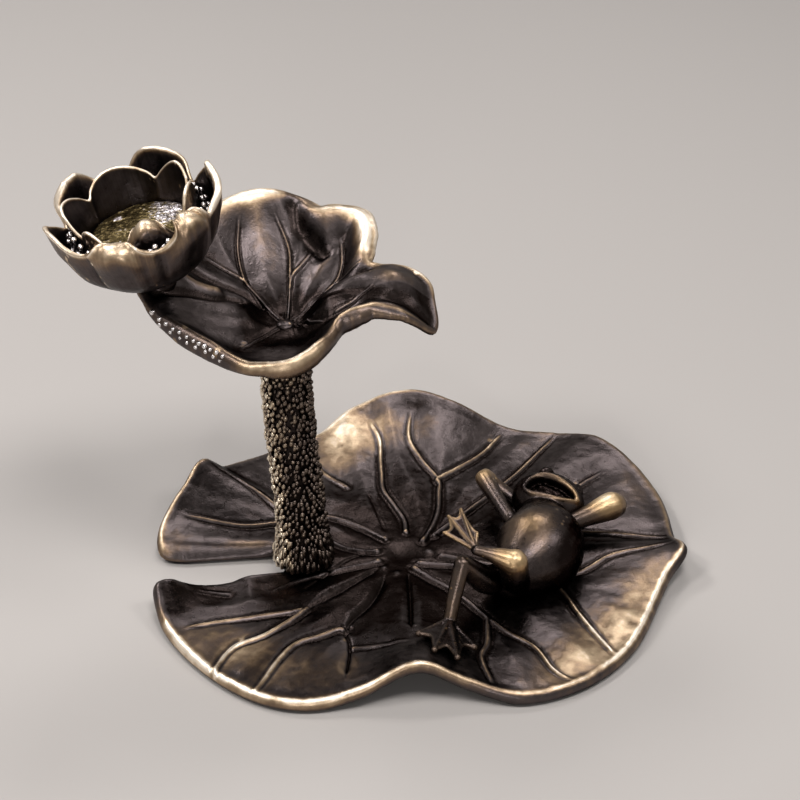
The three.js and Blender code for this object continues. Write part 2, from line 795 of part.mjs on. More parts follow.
function frogBody() {
  const [eyeX, eyeY, eyeZ] = inHead(eyePlaceShares);
  const eyes = [-eyeX, eyeX].map((x) => ellipsoid([eyeRadius, eyeRadius, eyeRadius], [x, eyeY, eyeZ], 8, 6));
  const mouth = ellipsoid(inHead(mouthShares), inHead(mouthPlaceShares), 14, 8);
  const body = torsoAndHead().add(moved(joined(eyes), headFrame)).subtract(moved(mouth, headFrame));
  return onFrog(body).subtract(bar(frogPlace, 0, frogSeat + frogScrewBite + screwEndRoom, screwHole));
}

const bodyRoom = torsoAndHead(seatGap);

function arm({ shoulder, elbow, hand, elbowRadius }) {
  const towards = (share, end) => elbow.map((value, i) => value + (end[i] - value) * share);
  const half = (end) => [...towards(0.5, end), armRadius];
  const upper = limb([[...shoulder, armRadius], half(shoulder), [...elbow, elbowRadius]]);
  const fore = limb([[...towards(0.1, hand), elbowRadius], half(hand), [...hand, armRadius]]);
  return onFrog(upper.add(fore).subtract(bodyRoom));
}

// Webbed foot: toes fan out from the ankle, with a web between them that is drawn in between the tips.
function webbedFoot(ankle, tips, radius) {
  const toes = tips.map((tip) => {
    const middle = ankle.map((value, i) => (value + tip[i]) / 2);
    return limb([[...ankle, radius * toeRoot], [...middle, radius * toeMiddle], [...tip, radius]], toeSides);
  });
  const webs = tips.slice(1).map((tip, i) => {
    const [root, left, right] = [ankle, tips[i], tip].map((point) => new THREE.Vector3(...point));
    const drawn = left.clone().add(right).multiplyScalar(0.5).lerp(root, webDraw);
    return webBetween(root, [left, drawn, right], radius * webHalf);
  });
  return joined([...toes, ...webs]);
}

// Thin skin that fans from a root over the points of an edge.
function webBetween(root, edge, half) {
  const [first, last] = [edge[0], edge.at(-1)].map((point) => point.clone().sub(root));
  const normal = first.cross(last).normalize().multiplyScalar(half);
  const flat = [root, ...edge];
  const above = flat.map((point) => point.clone().add(normal));
  const below = flat.map((point) => point.clone().sub(normal));
  const points = [...above, ...below];
  const count = flat.length;
  const faces = [];
  for (let i = 1; i < count - 1; i++) {
    faces.push([0, i, i + 1], [count, count + i + 1, count + i]);
  }
  for (let i = 0; i < count; i++) {
    const j = (i + 1) % count;
    faces.push([i, count + i, count + j], [i, count + j, j]);
  }
  return solidOf(points, faces);
}

const standingLimbs = (gap = 0) => limb(grown(standingThigh, gap)).add(limb(grown(standingShin, gap)));

function standingLeg() {
  const foot = webbedFoot(standingAnkle, standingToes, standingToeRadius);
  return onFrog(standingLimbs().add(foot).subtract(bodyRoom));
}

function crossedLeg() {
  const foot = webbedFoot(crossedAnkle, crossedToes, crossedToeRadius);
  const leg = joined([limb(crossedThigh), limb(crossedShin), foot]);
  return onFrog(leg.subtract(bodyRoom).subtract(standingLimbs(seatGap)));
}

// Screws

function capScrew() {
  const [x, y, z] = cupHub;
  const dome = ellipsoid([capHeadRadius, capHeadRadius, capHeadHeight], [x, y, z], 12, 6);
  const below = bar(hubPlace, z - capHeadHeight - cutMargin, z, capHeadRadius + cutMargin);
  return dome.subtract(below).add(bar(hubPlace, cupSeat - capScrewBite, z + capHeadHeight / 2, screwRadius));
}

function flowerScrew() {
  const headTop = -bossDepth - seatGap;
  const head = bar(axis, headTop - panHeadHeight, headTop, panHeadRadius);
  return head.add(bar(axis, headTop - panHeadHeight / 2, flowerScrewBite, screwRadius));
}

// Assembly

const finish = {
  darkBrass: { color: 0x3a2c22, roughness: 0.42, metalness: 0.9 },
  rubbedBrass: { color: 0x6a5230, roughness: 0.38, metalness: 0.95 },
  bareBrass: { color: 0x6b6132, roughness: 0.55, metalness: 0.8 },
  steel: { color: 0x8d8f92, roughness: 0.35, metalness: 1 },
};

const burner = new THREE.Group();

function piece(name, solid, look, parent = burner) {
  const mesh = new THREE.Mesh(toGeometry(solid), new THREE.MeshStandardMaterial(look));
  mesh.name = name;
  parent.add(mesh);
}

const flower = new THREE.Group();
flowerFrame.decompose(flower.position, flower.quaternion, flower.scale);
burner.add(flower);

piece("tray_leaf", trayLeaf(), finish.darkBrass);
piece("stalk", stalk(), finish.darkBrass);
piece("upper_leaf", cupLeaf(), finish.darkBrass);
piece("frog_body", frogBody(), finish.rubbedBrass);
piece("frog_arm_far", arm(farArm), finish.rubbedBrass);
piece("frog_arm_near", arm(nearArm), finish.rubbedBrass);
piece("frog_leg_standing", standingLeg(), finish.darkBrass);
piece("frog_leg_crossed", crossedLeg(), finish.rubbedBrass);
piece("flower_cup", flowerCup(), finish.darkBrass, flower);
piece("inner_petals", innerCup(), finish.darkBrass, flower);
piece("stamen_ring", stamens(), finish.darkBrass, flower);
piece("cone_plate", conePlate(), finish.bareBrass, flower);
piece("flower_screw", flowerScrew(), finish.steel, flower);
piece("stalk_screw", countersunkScrew(stalkFoot, traySeat + stalkScrewBite), finish.steel);
piece("frog_screw", countersunkScrew(frogPlace, frogSeat + frogScrewBite), finish.steel);
piece("leaf_screw", capScrew(), finish.darkBrass);

export default burner;
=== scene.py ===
"""Backflow incense burner in dark patinated brass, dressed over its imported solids.

A lotus leaf tray with a frog on its back, a knobbly stalk, a cupped leaf with a tongue, and a lotus
flower that holds the cone. Shapes are worked out in millimetres and put down in metres.
"""

import math

import bpy
import numpy as np
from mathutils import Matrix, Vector, geometry, kdtree


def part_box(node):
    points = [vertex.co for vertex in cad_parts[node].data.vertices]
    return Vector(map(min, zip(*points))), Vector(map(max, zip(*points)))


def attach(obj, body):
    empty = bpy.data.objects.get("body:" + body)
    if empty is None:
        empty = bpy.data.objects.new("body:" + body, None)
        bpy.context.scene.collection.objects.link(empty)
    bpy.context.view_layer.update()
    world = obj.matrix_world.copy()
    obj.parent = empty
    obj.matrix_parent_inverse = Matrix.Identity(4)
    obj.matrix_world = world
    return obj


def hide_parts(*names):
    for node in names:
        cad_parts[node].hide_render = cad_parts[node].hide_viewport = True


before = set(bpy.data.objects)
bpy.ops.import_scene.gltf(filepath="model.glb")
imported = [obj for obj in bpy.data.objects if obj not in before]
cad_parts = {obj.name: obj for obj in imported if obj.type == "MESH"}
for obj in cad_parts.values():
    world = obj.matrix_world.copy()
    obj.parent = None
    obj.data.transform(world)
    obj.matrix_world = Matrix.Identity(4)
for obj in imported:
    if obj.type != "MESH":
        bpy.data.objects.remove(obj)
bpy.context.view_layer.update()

MM = 0.001
BLOCK = 4000  # points measured at a time
ON_EDGE = 0.001  # a point this near an outline, in millimetres, lies on it

# ---------------------------------------------------------------- sizes, as in the solids

TRAY_RADIUS = 52.0
TRAY_THICKNESS = 2.6
TRAY_CURL = 2.6
TRAY_FLAT = 0.3
TRAY_RIM = np.array([
    (2, 4.5, 1.6), (18, 5.5, 1.6), (40, 5, 3.4), (50, 1, 2), (61, -3, 2), (75, -2.5, 5.4), (88, -0.5, 6.6),
    (104, -4, 4.5), (114, -7.5, 1.6), (132, -8, 1.6), (147, -6.5, 3.6), (154, -5, 8.4), (161, -4, 5.6),
    (171, -2.5, 3), (180, -1.5, 1.2), (187, -2, 0.4), (196, -1, 1.6), (201, 0.4, 2.4), (209, 1.5, 0.6),
    (222, 2.3, 0), (240, 3.4, 0), (249, 2.3, 0), (259, -1.5, 1.4), (274, -5.2, 6.4), (286, -2.5, 2.6),
    (296, 2.2, 0), (308, 4.4, 0), (322, 4.3, 0.2), (338, 2.8, 0.8), (348, 3.6, 2), (355, 6.5, 3.8),
], float)
STALK_FOOT = np.array([-19.5, -5.3])
CLEFT_END = STALK_FOOT + (-4.3, 0.3)
CLEFT_END_WIDTH = 8.0
CLEFT_MOUTH = np.array([-56.0, -11.4])
CLEFT_MOUTH_WIDTH = 14.0

STALK_HEIGHT = 51.0
STALK = [
    (0, 0, 0, 6.1), (0.03, 0, 0, 6.1), (0.077, 0, 0.1, 5.6), (0.154, -0.2, 0.2, 5.1),
    (0.346, -0.9, 0.7, 4.9), (0.577, -2.1, 1.4, 4.9), (0.808, -2.6, 2, 4.9), (1, -2.5, 2.3, 5),
]
SEAT_RISE = 0.9

CUP_THICKNESS = 2.1
CUP_RIM = np.array([
    (0, 29, 8, 5.6), (8, 28.3, 8.5, 7.6), (16, 25, 8, 9.2), (25, 18.4, 5, 9.6), (33, 19.8, 5, 11),
    (45, 23.8, 5.5, 13), (56, 26.8, 5.5, 14.5), (66, 25.8, 5.2, 14.4), (76, 24.6, 5, 13.6), (84, 27, 5.8, 14),
    (92, 26.6, 5, 15.6), (102, 26.3, 4.8, 16), (119, 25.3, 4.5, 15), (136, 25, 4.5, 13),
    (150, 25.5, 4.5, 11.4), (165, 27, 5, 10.4), (180, 28.8, 5.4, 10), (194, 25.6, 4, 8), (206, 22.6, 2.2, 6.2),
    (223, 20.2, 1, 4.6), (240, 19.8, 0.5, 3.6), (258, 20.6, 0.3, 3), (275, 21, 0.4, 3.1), (296, 17.4, 0.8, 5),
    (318, 14.4, 2.4, 7), (335, 18.6, 4.8, 7.8), (343, 25, 6.8, 5.6), (351, 29.6, 7.6, 2.4),
], float)
CUP_FLAT_HUB = 0.09
CUP_MID = 0.6

FLOWER_FOOT = np.array([-45.7, -1.8, 63.997])
FLOWER_LEAN = (math.radians(-12.3), math.radians(3.3))
FLOWER_PROFILE = [(3.8, 2.4), (9, 5), (13, 8.6), (15.2, 13), (16.5, 16.6), (16, 21.8)]
# Rims of the petals: direction in degrees, height over the flower's foot, how far the rim bends in.
OUTER_RIM = np.array([
    (0, 18.7, 0.3), (12, 20, 0.2), (22, 21.2, 0), (32, 19.8, 0), (40, 17.4, 0.3), (47, 14.6, 0.6),
    (54, 17, 0.3), (60, 19.2, 0.1), (68, 20.9, 0), (78, 22, 0), (87, 21.4, 0), (94, 19.7, 0.1), (101, 16.8, 0.4),
    (109, 14.4, 0.7), (117, 16.4, 0.4), (124, 18.6, 0.1), (133, 20.9, -0.1), (141, 22.3, -0.2), (149, 22.3, -0.1),
    (155, 20.6, 0.1), (162, 17.6, 0.4), (169, 14.6, 0.6), (178, 16.6, 0.3), (187, 19.1, -0.1), (199, 19.7, 0.1),
    (212, 19.7, 0.4), (224, 18.7, 0.6), (232, 17.4, 0.8), (239, 17.6, 1), (248, 19, 1.6), (257, 19.9, 2.4),
    (264, 20, 2.5), (271, 18.7, 1.8), (279, 17.1, 1), (289, 15.8, 0.8), (295, 16, 0.8), (303, 17.6, 0.8),
    (310, 19.9, 1.7), (316, 21.2, 3.0), (323, 21.2, 3.0), (329, 19.8, 1.7), (336, 17.6, 0.9), (346, 15.4, 0.8),
    (353, 17, 0.5),
], float)
INNER_RIM = np.array([
    (7, 20.6, 0.2), (16, 19.2, 0.1), (23, 17.6, 0.2), (30, 19.3, 0), (38, 20.9, -0.1), (47, 21.4, -0.1),
    (57, 20.5, -0.1), (65, 19.2, 0.1), (72, 17.9, 0.2), (80, 18.9, 0), (92, 20.2, -0.1), (108, 21.1, -0.2),
    (120, 21.1, -0.2), (131, 20.5, -0.1), (140, 19.4, 0), (147, 18.2, 0.1), (155, 19.5, -0.4), (166, 20.8, -1),
    (180, 21.2, -1.4), (191, 20.3, -1.2), (199, 18, -0.6), (206, 16.4, 0), (215, 18.4, 0.2), (225, 19.2, 0.3),
    (234, 18.2, 0.4), (244, 16.2, 0.4), (255, 15, 0.4), (264, 16.4, 1), (273, 19, 2.2), (283, 20.8, 3.4),
    (292, 21, 3.6), (301, 19.8, 2.6), (310, 17, 1), (319, 15, 0.4), (328, 15.8, 0.3), (336, 18, 0.6),
    (345, 20.4, 0.8), (356, 21.2, 0.6),
], float)
PLATE_TOP = 13.6
PLATE_RADIUS = 10.0

FROG_PLACE = np.array([26.5, -11.2])
FROG_TURN = math.radians(-17.5)


# ---------------------------------------------------------------- curves and fields

def smooth(x, low, high):
    """From zero at low to one at high, with level ends."""
    t = np.clip((np.asarray(x, float) - low) / (high - low), 0, 1)
    return t * t * (3 - 2 * t)


def bell(x, width):
    """Soft bump of height one round zero."""
    return np.exp(-(x / width) ** 2)


def oval(flat, x, y, across, along):
    """Soft bump of height one round a place in the plane."""
    return np.exp(-(((flat[:, 0] - x) / across) ** 2 + ((flat[:, 1] - y) / along) ** 2))


def turns(count):
    """Even angles round a circle."""
    return np.arange(count) / count * 2 * math.pi


def round_rim(table, direction, column):
    """A column of the rim's stations in each direction, as a smooth curve that closes on itself."""
    angle = np.mod(direction, 360)
    keys = table[:, 0]
    values = table[:, column]
    count = len(keys)
    after = np.searchsorted(keys, angle, side="right") % count
    before = (after - 1) % count
    span = np.mod(keys[after] - keys[before], 360)
    t = np.mod(angle - keys[before], 360) / span
    a, b, c, d = values[(after - 2) % count], values[before], values[after], values[(after + 1) % count]
    slope_in = (c - a) / 2
    slope_out = (d - b) / 2
    bend = 3 * (c - b) - 2 * slope_in - slope_out
    twist = slope_in + slope_out - 2 * (c - b)
    return b + (slope_in + (bend + twist * t) * t) * t


def catmull(points, step):
    """Smooth open curve through the points, sampled about every step."""
    p = np.asarray(points, float)
    p = np.vstack([2 * p[0] - p[1], p, 2 * p[-1] - p[-2]])
    out = []
    for k in range(1, len(p) - 2):
        a, b, c, d = p[k - 1], p[k], p[k + 1], p[k + 2]
        count = max(2, int(math.ceil(np.linalg.norm((c - b)[:3]) / step)))
        t = (np.arange(count) / count)[:, None]
        out.append(0.5 * (2 * b + (c - a) * t + (2 * a - 5 * b + 4 * c - d) * t ** 2
                          + (3 * b - a - 3 * c + d) * t ** 3))
    out.append(p[-2][None])
    return np.vstack(out)


def polar(points):
    """Points given as (direction in degrees, radius), as x and y."""
    p = np.asarray(points, float)
    a = np.radians(p[:, 0])
    return np.stack([p[:, 1] * np.cos(a), p[:, 1] * np.sin(a)], 1)


def bearing(x, y):
    """Direction from the middle in degrees, from 0 to 360."""
    return np.mod(np.degrees(np.arctan2(y, x)), 360)


def routes(lines, step):
    """Lines of (strength, polar stations) as (strength, smooth route in the plane)."""
    return [(strength, catmull(polar(line), step)) for strength, line in lines]


def read_table(table, at):
    """Each column of a table of stations, read between them."""
    return [np.interp(at, table[:, 0], column) for column in table.T[1:]]


def nearest(points, samples):
    """Distance from each point to the nearest sample, and that sample's number."""
    best = np.empty(len(points))
    which = np.empty(len(points), int)
    for start in range(0, len(points), BLOCK):
        part = slice(start, start + BLOCK)
        d = ((points[part, None, :] - samples[None]) ** 2).sum(2)
        which[part] = d.argmin(1)
        best[part] = np.sqrt(d.min(1))
    return best, which


def edge_distance(points, loop):
    """Distance from each point to a closed outline."""
    step = np.roll(loop, -1, axis=0) - loop
    length = (step ** 2).sum(1)
    best = np.empty(len(points))
    for start in range(0, len(points), BLOCK):
        away = points[start:start + BLOCK, None, :] - loop
        t = np.clip((away * step).sum(2) / length, 0, 1)
        best[start:start + BLOCK] = np.sqrt(((away - t[:, :, None] * step) ** 2).sum(2).min(1))
    return best


def inside(points, loop):
    """Which points lie inside a closed outline."""
    x, y = points[:, 0], points[:, 1]
    hit = np.zeros(len(points), bool)
    for (x0, y0), (x1, y1) in zip(loop, np.roll(loop, -1, axis=0)):
        crosses = (y0 > y) != (y1 > y)
        with np.errstate(divide="ignore", invalid="ignore"):
            hit ^= crosses & (x < (x1 - x0) * (y - y0) / (y1 - y0) + x0)
    return hit


def resample(loop, step):
    """Closed outline with even steps."""
    closed = np.vstack([loop, loop[:1]])
    run = np.concatenate([[0], np.cumsum(np.linalg.norm(np.diff(closed, axis=0), axis=1))])
    count = int(round(run[-1] / step))
    at = np.arange(count) / count * run[-1]
    return np.stack([np.interp(at, run, closed[:, k]) for k in range(closed.shape[1])], 1)


def soften(loop, width, step=1):
    """Closed outline or values round a circle, averaged softly over a width."""
    reach = int(3 * width / step)
    shifts = np.arange(-reach, reach + 1)
    weights = np.exp(-0.5 * (shifts * step / width) ** 2)
    weights /= weights.sum()
    return sum(w * np.roll(loop, k, axis=0) for k, w in zip(shifts, weights))


HASH_KEYS = np.array([73856093, 19349663, 83492791])


def hash_noise(p, seed=0):
    """Smooth value noise in the plane or in space, from minus one to one."""
    p = np.asarray(p, float)
    if p.shape[1] == 2:
        p = np.column_stack([p, np.full(len(p), 0.37)])
    base = np.floor(p).astype(np.int64)
    f = p - base
    f = f * f * (3 - 2 * f)
    total = np.zeros(len(p))
    for corner in np.ndindex(2, 2, 2):
        n = np.bitwise_xor.reduce((base + corner) * HASH_KEYS, axis=1)
        n = (n + seed * 2654435761) & 0x7FFFFFFF
        n = (n ^ (n >> 13)) * 1274126177 & 0x7FFFFFFF
        n = (n ^ (n >> 16)) & 0xFFFF
        total += (n / 32767.5 - 1) * np.where(corner, f, 1 - f).prod(1)
    return total


def cloudy(p, size, seed=0, layers=3):
    """Layered noise whose largest features are about a size across."""
    p = np.asarray(p, float) / size
    return sum(hash_noise(p * 2 ** k, seed + k) / 2 ** k for k in range(layers)) / 1.5


# ---------------------------------------------------------------- meshes

DOME = (20, 40, 60, 80)  # where a tube's domed end has its rings, in degrees
TUBE_SIDE = (0.6, -0.2, 0.77)  # no tube runs this way, so that its rings start well


def make_piece(name, points, faces, material, replaces=(), rub=None, dark=None):
    """Mesh piece from points in millimetres, with smooth faces, riding on the one body."""
    mesh = bpy.data.meshes.new(name)
    points = np.asarray(points, float)
    mesh.from_pydata((points * MM).tolist(), [], [list(map(int, f)) for f in faces])
    mesh.validate()
    mesh.polygons.foreach_set("use_smooth", np.ones(len(mesh.polygons), bool))
    for label, values in (("rub", rub), ("dark", dark)):
        attribute = mesh.attributes.new(label, "FLOAT", "POINT")
        values = np.zeros(len(points)) if values is None else np.clip(values, 0, 1)
        attribute.data.foreach_set("value", np.asarray(values, np.float32))
    mesh.update()
    piece = bpy.data.objects.new(name, mesh)
    bpy.context.scene.collection.objects.link(piece)
    piece.data.materials.append(material)
    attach(piece, "root")
    if replaces:
        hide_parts(*replaces)


def vertex_normals(points, triangles):
    """Normal at each point, by the area of the triangles round it."""
    t = np.asarray(triangles)
    n = np.cross(points[t[:, 1]] - points[t[:, 0]], points[t[:, 2]] - points[t[:, 0]])
    out = np.zeros_like(points)
    for k in range(3):
        np.add.at(out, t[:, k], n)
    return out / (np.linalg.norm(out, axis=1, keepdims=True) + 1e-12)


def plan_mesh(loop, spacing, ring_steps, rows):
    """Triangles over the inside of an outline: rings along its edge, rows beside the veins, and an even fill."""
    tangent = np.roll(loop, -1, axis=0) - np.roll(loop, 1, axis=0)
    tangent /= np.linalg.norm(tangent, axis=1, keepdims=True)
    area = 0.5 * np.sum(loop[:, 0] * np.roll(loop[:, 1], -1) - np.roll(loop[:, 0], -1) * loop[:, 1])
    inward = np.stack([-tangent[:, 1], tangent[:, 0]], 1) * np.sign(area)
    parts = []
    for k, depth in enumerate(ring_steps):
        ring = loop + inward * depth
        if k % 2:
            ring = (ring + np.roll(ring, -1, axis=0)) / 2
        keep = (edge_distance(ring, loop) > depth * 0.93) & inside(ring, loop)
        parts.append(ring[keep])
    last = ring_steps[-1]
    for row in rows:
        parts.append(row[inside(row, loop) & (edge_distance(row, loop) > last)])
    low, high = loop.min(0), loop.max(0)
    xs = np.arange(low[0], high[0], spacing)
    ys = np.arange(low[1], high[1], spacing * 0.866)
    gx, gy = np.meshgrid(xs, ys)
    gx = gx + (np.arange(len(ys)) % 2)[:, None] * spacing / 2
    fill = np.stack([gx.ravel(), gy.ravel()], 1)
    fill = fill[inside(fill, loop)]
    fill = fill[edge_distance(fill, loop) > last + spacing * 0.6]
    apart, _ = nearest(fill, np.vstack(rows))
    points = np.vstack([loop, *parts, fill[apart > spacing * 0.55]])
    count = len(loop)
    edges = [(i, (i + 1) % count) for i in range(count)]
    result = geometry.delaunay_2d_cdt([Vector(p) for p in points], edges, [], 1, 1e-5, True)
    flat = np.array([v[:] for v in result[0]])
    triangles = np.array([f for f in result[2] if len(f) == 3], int)
    return flat, triangles[inside(flat[triangles].mean(1), loop)]


def rounded(depth, radius):
    """Share of the full thickness at a depth behind a round edge."""
    return np.sqrt(np.clip(1 - (1 - np.clip(depth / radius, 0, 1)) ** 2, 0, 1))


def sheet_faces(triangles, depth):
    """Faces of an upper and an under skin that share the points on the edge, and the points that they use."""
    count = len(depth)
    on_edge = depth < ON_EDGE
    under = np.arange(count) + count
    under[on_edge] = np.nonzero(on_edge)[0]
    faces = np.vstack([triangles, under[triangles][:, ::-1]])
    used = np.unique(faces)
    back = np.full(2 * count, -1)
    back[used] = np.arange(len(used))
    return back[faces], used


def leaf_shell(flat, triangles, loop, top, thickness, rim_round, upright):
    """Closed sheet under a top surface, with its edge rounded.

    Returns its points, its faces, their distance from the edge and their numbers among both skins' points.
    """
    points = np.column_stack([flat, top])
    normal = vertex_normals(points, triangles)
    if normal[:, 2].mean() < 0:
        triangles = triangles[:, ::-1]
        normal = -normal
    normal = normal + np.outer(upright, [0, 0, 1.0])
    normal /= np.linalg.norm(normal, axis=1, keepdims=True)
    depth = edge_distance(flat, loop)
    middle = points - normal * (thickness / 2)[:, None]
    half = normal * (thickness / 2 * rounded(depth, rim_round))[:, None]
    faces, used = sheet_faces(triangles, depth)
    return np.vstack([middle + half, middle - half])[used], faces, np.concatenate([depth, depth])[used], used


def circle(radius, height, turn):
    """Ring of points round the upright axis."""
    return np.column_stack([radius * np.cos(turn), radius * np.sin(turn), np.broadcast_to(height, turn.shape)])


def band(low, high, around):
    """Quads between two rings of the same count, each given by its first point."""
    return [[low + i, low + (i + 1) % around, high + (i + 1) % around, high + i] for i in range(around)]


def grid_faces(rings, around, shift=0):
    """Quads between rings that follow one another."""
    return [quad for k in range(rings - 1) for quad in band(shift + k * around, shift + (k + 1) * around, around)]


def fan(tip, ring, around, flip=False):
    """Triangles from a tip to a ring."""
    triangles = [[tip, ring + i, ring + (i + 1) % around] for i in range(around)]
    return [[a, c, b] for a, b, c in triangles] if flip else triangles


def flipped(faces):
    return [face[::-1] for face in faces]


def tube(centres, radii, around=20):
    """Round tube with domed ends along points, as points and faces."""
    c = np.asarray(centres, float)
    r = np.asarray(radii, float)
    heading = np.gradient(c, axis=0)
    heading /= np.linalg.norm(heading, axis=1, keepdims=True) + 1e-12
    stops, sizes, ways = list(c), list(r), list(heading)
    for k, outward, at in ((0, -1, 0), (-1, 1, len(c) + len(DOME))):
        domes = DOME if k else DOME[::-1]
        stops[at:at] = [c[k] + outward * heading[k] * r[k] * math.sin(math.radians(a)) for a in domes]
        sizes[at:at] = [r[k] * math.cos(math.radians(a)) for a in domes]
        ways[at:at] = [heading[k]] * len(DOME)
    side = np.array(TUBE_SIDE)
    turn = turns(around)
    points = []
    for centre, size, way in zip(stops, sizes, ways):
        side = side - way * side.dot(way)
        side /= np.linalg.norm(side)
        rise = np.cross(way, side)
        points.append(centre + size * (np.cos(turn)[:, None] * side + np.sin(turn)[:, None] * rise))
    rings = len(points)
    points = np.vstack(points + [[c[0] - heading[0] * r[0]], [c[-1] + heading[-1] * r[-1]]])
    faces = grid_faces(rings, around) + fan(len(points) - 2, 0, around, True)
    return points, faces + fan(len(points) - 1, (rings - 1) * around, around)


def ball(radii, centre, turn=None, around=20, down=12):
    """Ellipsoid as points and faces."""
    steps = np.arange(1, down) / down * math.pi
    points = np.vstack([[[0, 0, 1]], *(circle(math.sin(t), math.cos(t), turns(around)) for t in steps), [[0, 0, -1]]])
    points = points * radii
    if turn is not None:
        points = points @ np.array(turn).T
    last = len(points) - 1
    quads = [[a, d, c, b] for a, b, c, d in grid_faces(down - 1, around, 1)]
    faces = fan(0, 1, around) + quads + fan(last, last - around, around, True)
    return points + np.asarray(centre, float), faces


def merge(bodies):
    """Several bodies as one list of points and faces."""
    points, faces, shift = [], [], 0
    for p, f in bodies:
        points.append(np.asarray(p, float))
        faces += [[int(i) + shift for i in face] for face in f]
        shift += len(p)
    return np.vstack(points), faces


def fused(points, faces, voxel, rounds):
    """One skin round overlapping bodies, smoothed, as points in millimetres and faces."""
    mesh = bpy.data.meshes.new("fused")
    mesh.from_pydata(np.asarray(points).tolist(), [], faces)
    mesh.validate()
    thing = bpy.data.objects.new("fused", mesh)
    bpy.context.scene.collection.objects.link(thing)
    remesh = thing.modifiers.new("skin", "REMESH")
    remesh.mode = "VOXEL"
    remesh.voxel_size = voxel
    calm = thing.modifiers.new("calm", "SMOOTH")
    calm.iterations = rounds
    calm.factor = 0.5
    shown = thing.evaluated_get(bpy.context.evaluated_depsgraph_get())
    made = shown.to_mesh()
    out = np.array([v.co[:] for v in made.vertices])
    polygons = [list(p.vertices) for p in made.polygons]
    shown.to_mesh_clear()
    bpy.data.objects.remove(thing)
    bpy.data.meshes.remove(mesh)
    return out, polygons


# ---------------------------------------------------------------- materials

class Nodes:
    """Short way to make shader nodes and to link them."""

    def __init__(self, owner):
        owner.use_nodes = True
        self.tree = owner.node_tree
        self.tree.nodes.clear()

    def make(self, kind, inputs=(), **values):
        """A node, with a number, a colour or another node's output for each of its inputs."""
        made = self.tree.nodes.new("ShaderNode" + kind)
        for key, value in values.items():
            setattr(made, key, value)
        for key, value in dict(inputs).items():
            if isinstance(value, bpy.types.NodeSocket):
                self.tree.links.new(value, made.inputs[key])
            else:
                made.inputs[key].default_value = value
        return made

    def math(self, operation, a, b, **values):
        return self.make("Math", {0: a, 1: b}, operation=operation, **values).outputs[0]

    def swing(self, value, size):
        """A noise about its middle, times a size."""
        return self.math("MULTIPLY", self.math("SUBTRACT", value, 0.5), size)

    def span(self, value, low, high, full=1.0):
        inputs = {"Value": value, "From Max": full, "To Min": low, "To Max": high}
        return self.make("MapRange", inputs).outputs[0]


# Noise as (scale per metre, detail, roughness): large clouds, mottling and the finest grain.
CLOUD, MOTTLE, FINE = (130, 4, 0.55), (700, 5, 0.65), (2600, 3, 0.6)
CRUST_SCALE = 1500
WEAR_RANGE = (-0.25, 0.45)
BUMP_DEPTH = 0.0004
# How much the bare patina gains at a flat angle against rubbed brass, and the wear at which it gains in full.
DULL_GAIN, FULL_GAIN_AT = 0.35, 0.6


def patina(name, steps, rough, grain, patch=0.34, edge=5.0, cell=0.0):
    """Patinated brass. The painted wear and painted sheen, the edges and a cloudy noise choose between the steps of
    colour.
    """
    material = bpy.data.materials.new(name)
    nodes = Nodes(material)
    make, calc, swing = nodes.make, nodes.math, nodes.swing
    place = make("TexCoord").outputs["Object"]
    cloud, mottle, fine = (
        make("TexNoise", {"Vector": place, "Scale": scale, "Detail": detail, "Roughness": rough_noise}).outputs["Fac"]
        for scale, detail, rough_noise in (CLOUD, MOTTLE, FINE))
    # The first attribute holds worn brass and, in places, painted highlights and sheens; the second holds patina in
    # hollows and, in places, painted shade.
    rub, dark = (make("Attribute", attribute_name=label).outputs["Fac"] for label in ("rub", "dark"))
    worn = swing(make("NewGeometry").outputs["Pointiness"], edge)
    worn = calc("MINIMUM", calc("MAXIMUM", worn, WEAR_RANGE[0]), WEAR_RANGE[1])
    mask = calc("ADD", calc("ADD", rub, worn), calc("ADD", swing(cloud, patch), swing(mottle, patch * 0.7)))
    mask = calc("SUBTRACT", mask, dark, use_clamp=True)

    ramp = make("ValToRGB", {0: mask})
    elements = ramp.color_ramp.elements
    while len(elements) < len(steps):
        elements.new(0.5)
    for element, (position, colour) in zip(elements, steps):
        element.position = position
        element.color = (*colour, 1)

    height = calc("ADD", calc("MULTIPLY", mottle, 0.7), calc("MULTIPLY", fine, 0.3))
    if cell:
        crust = make("TexVoronoi", {"Vector": place, "Scale": CRUST_SCALE}).outputs["Distance"]
        height = calc("ADD", height, calc("MULTIPLY", crust, cell))
    bump = make("Bump", {"Strength": grain, "Distance": BUMP_DEPTH, "Height": height})
    shader = make("BsdfPrincipled", {
        "Base Color": ramp.outputs[0], "Metallic": 1.0, "Normal": bump.outputs[0],
        # The dark patina gains little at a flat angle, as an oxide does. Rubbed brass gains as bare metal.
        "Specular Tint": nodes.span(mask, DULL_GAIN, 1.0, FULL_GAIN_AT),
        "Roughness": calc("ADD", nodes.span(mask, *rough), swing(mottle, 0.22)),
    })
    make("OutputMaterial", {0: shader.outputs[0]})
    return material


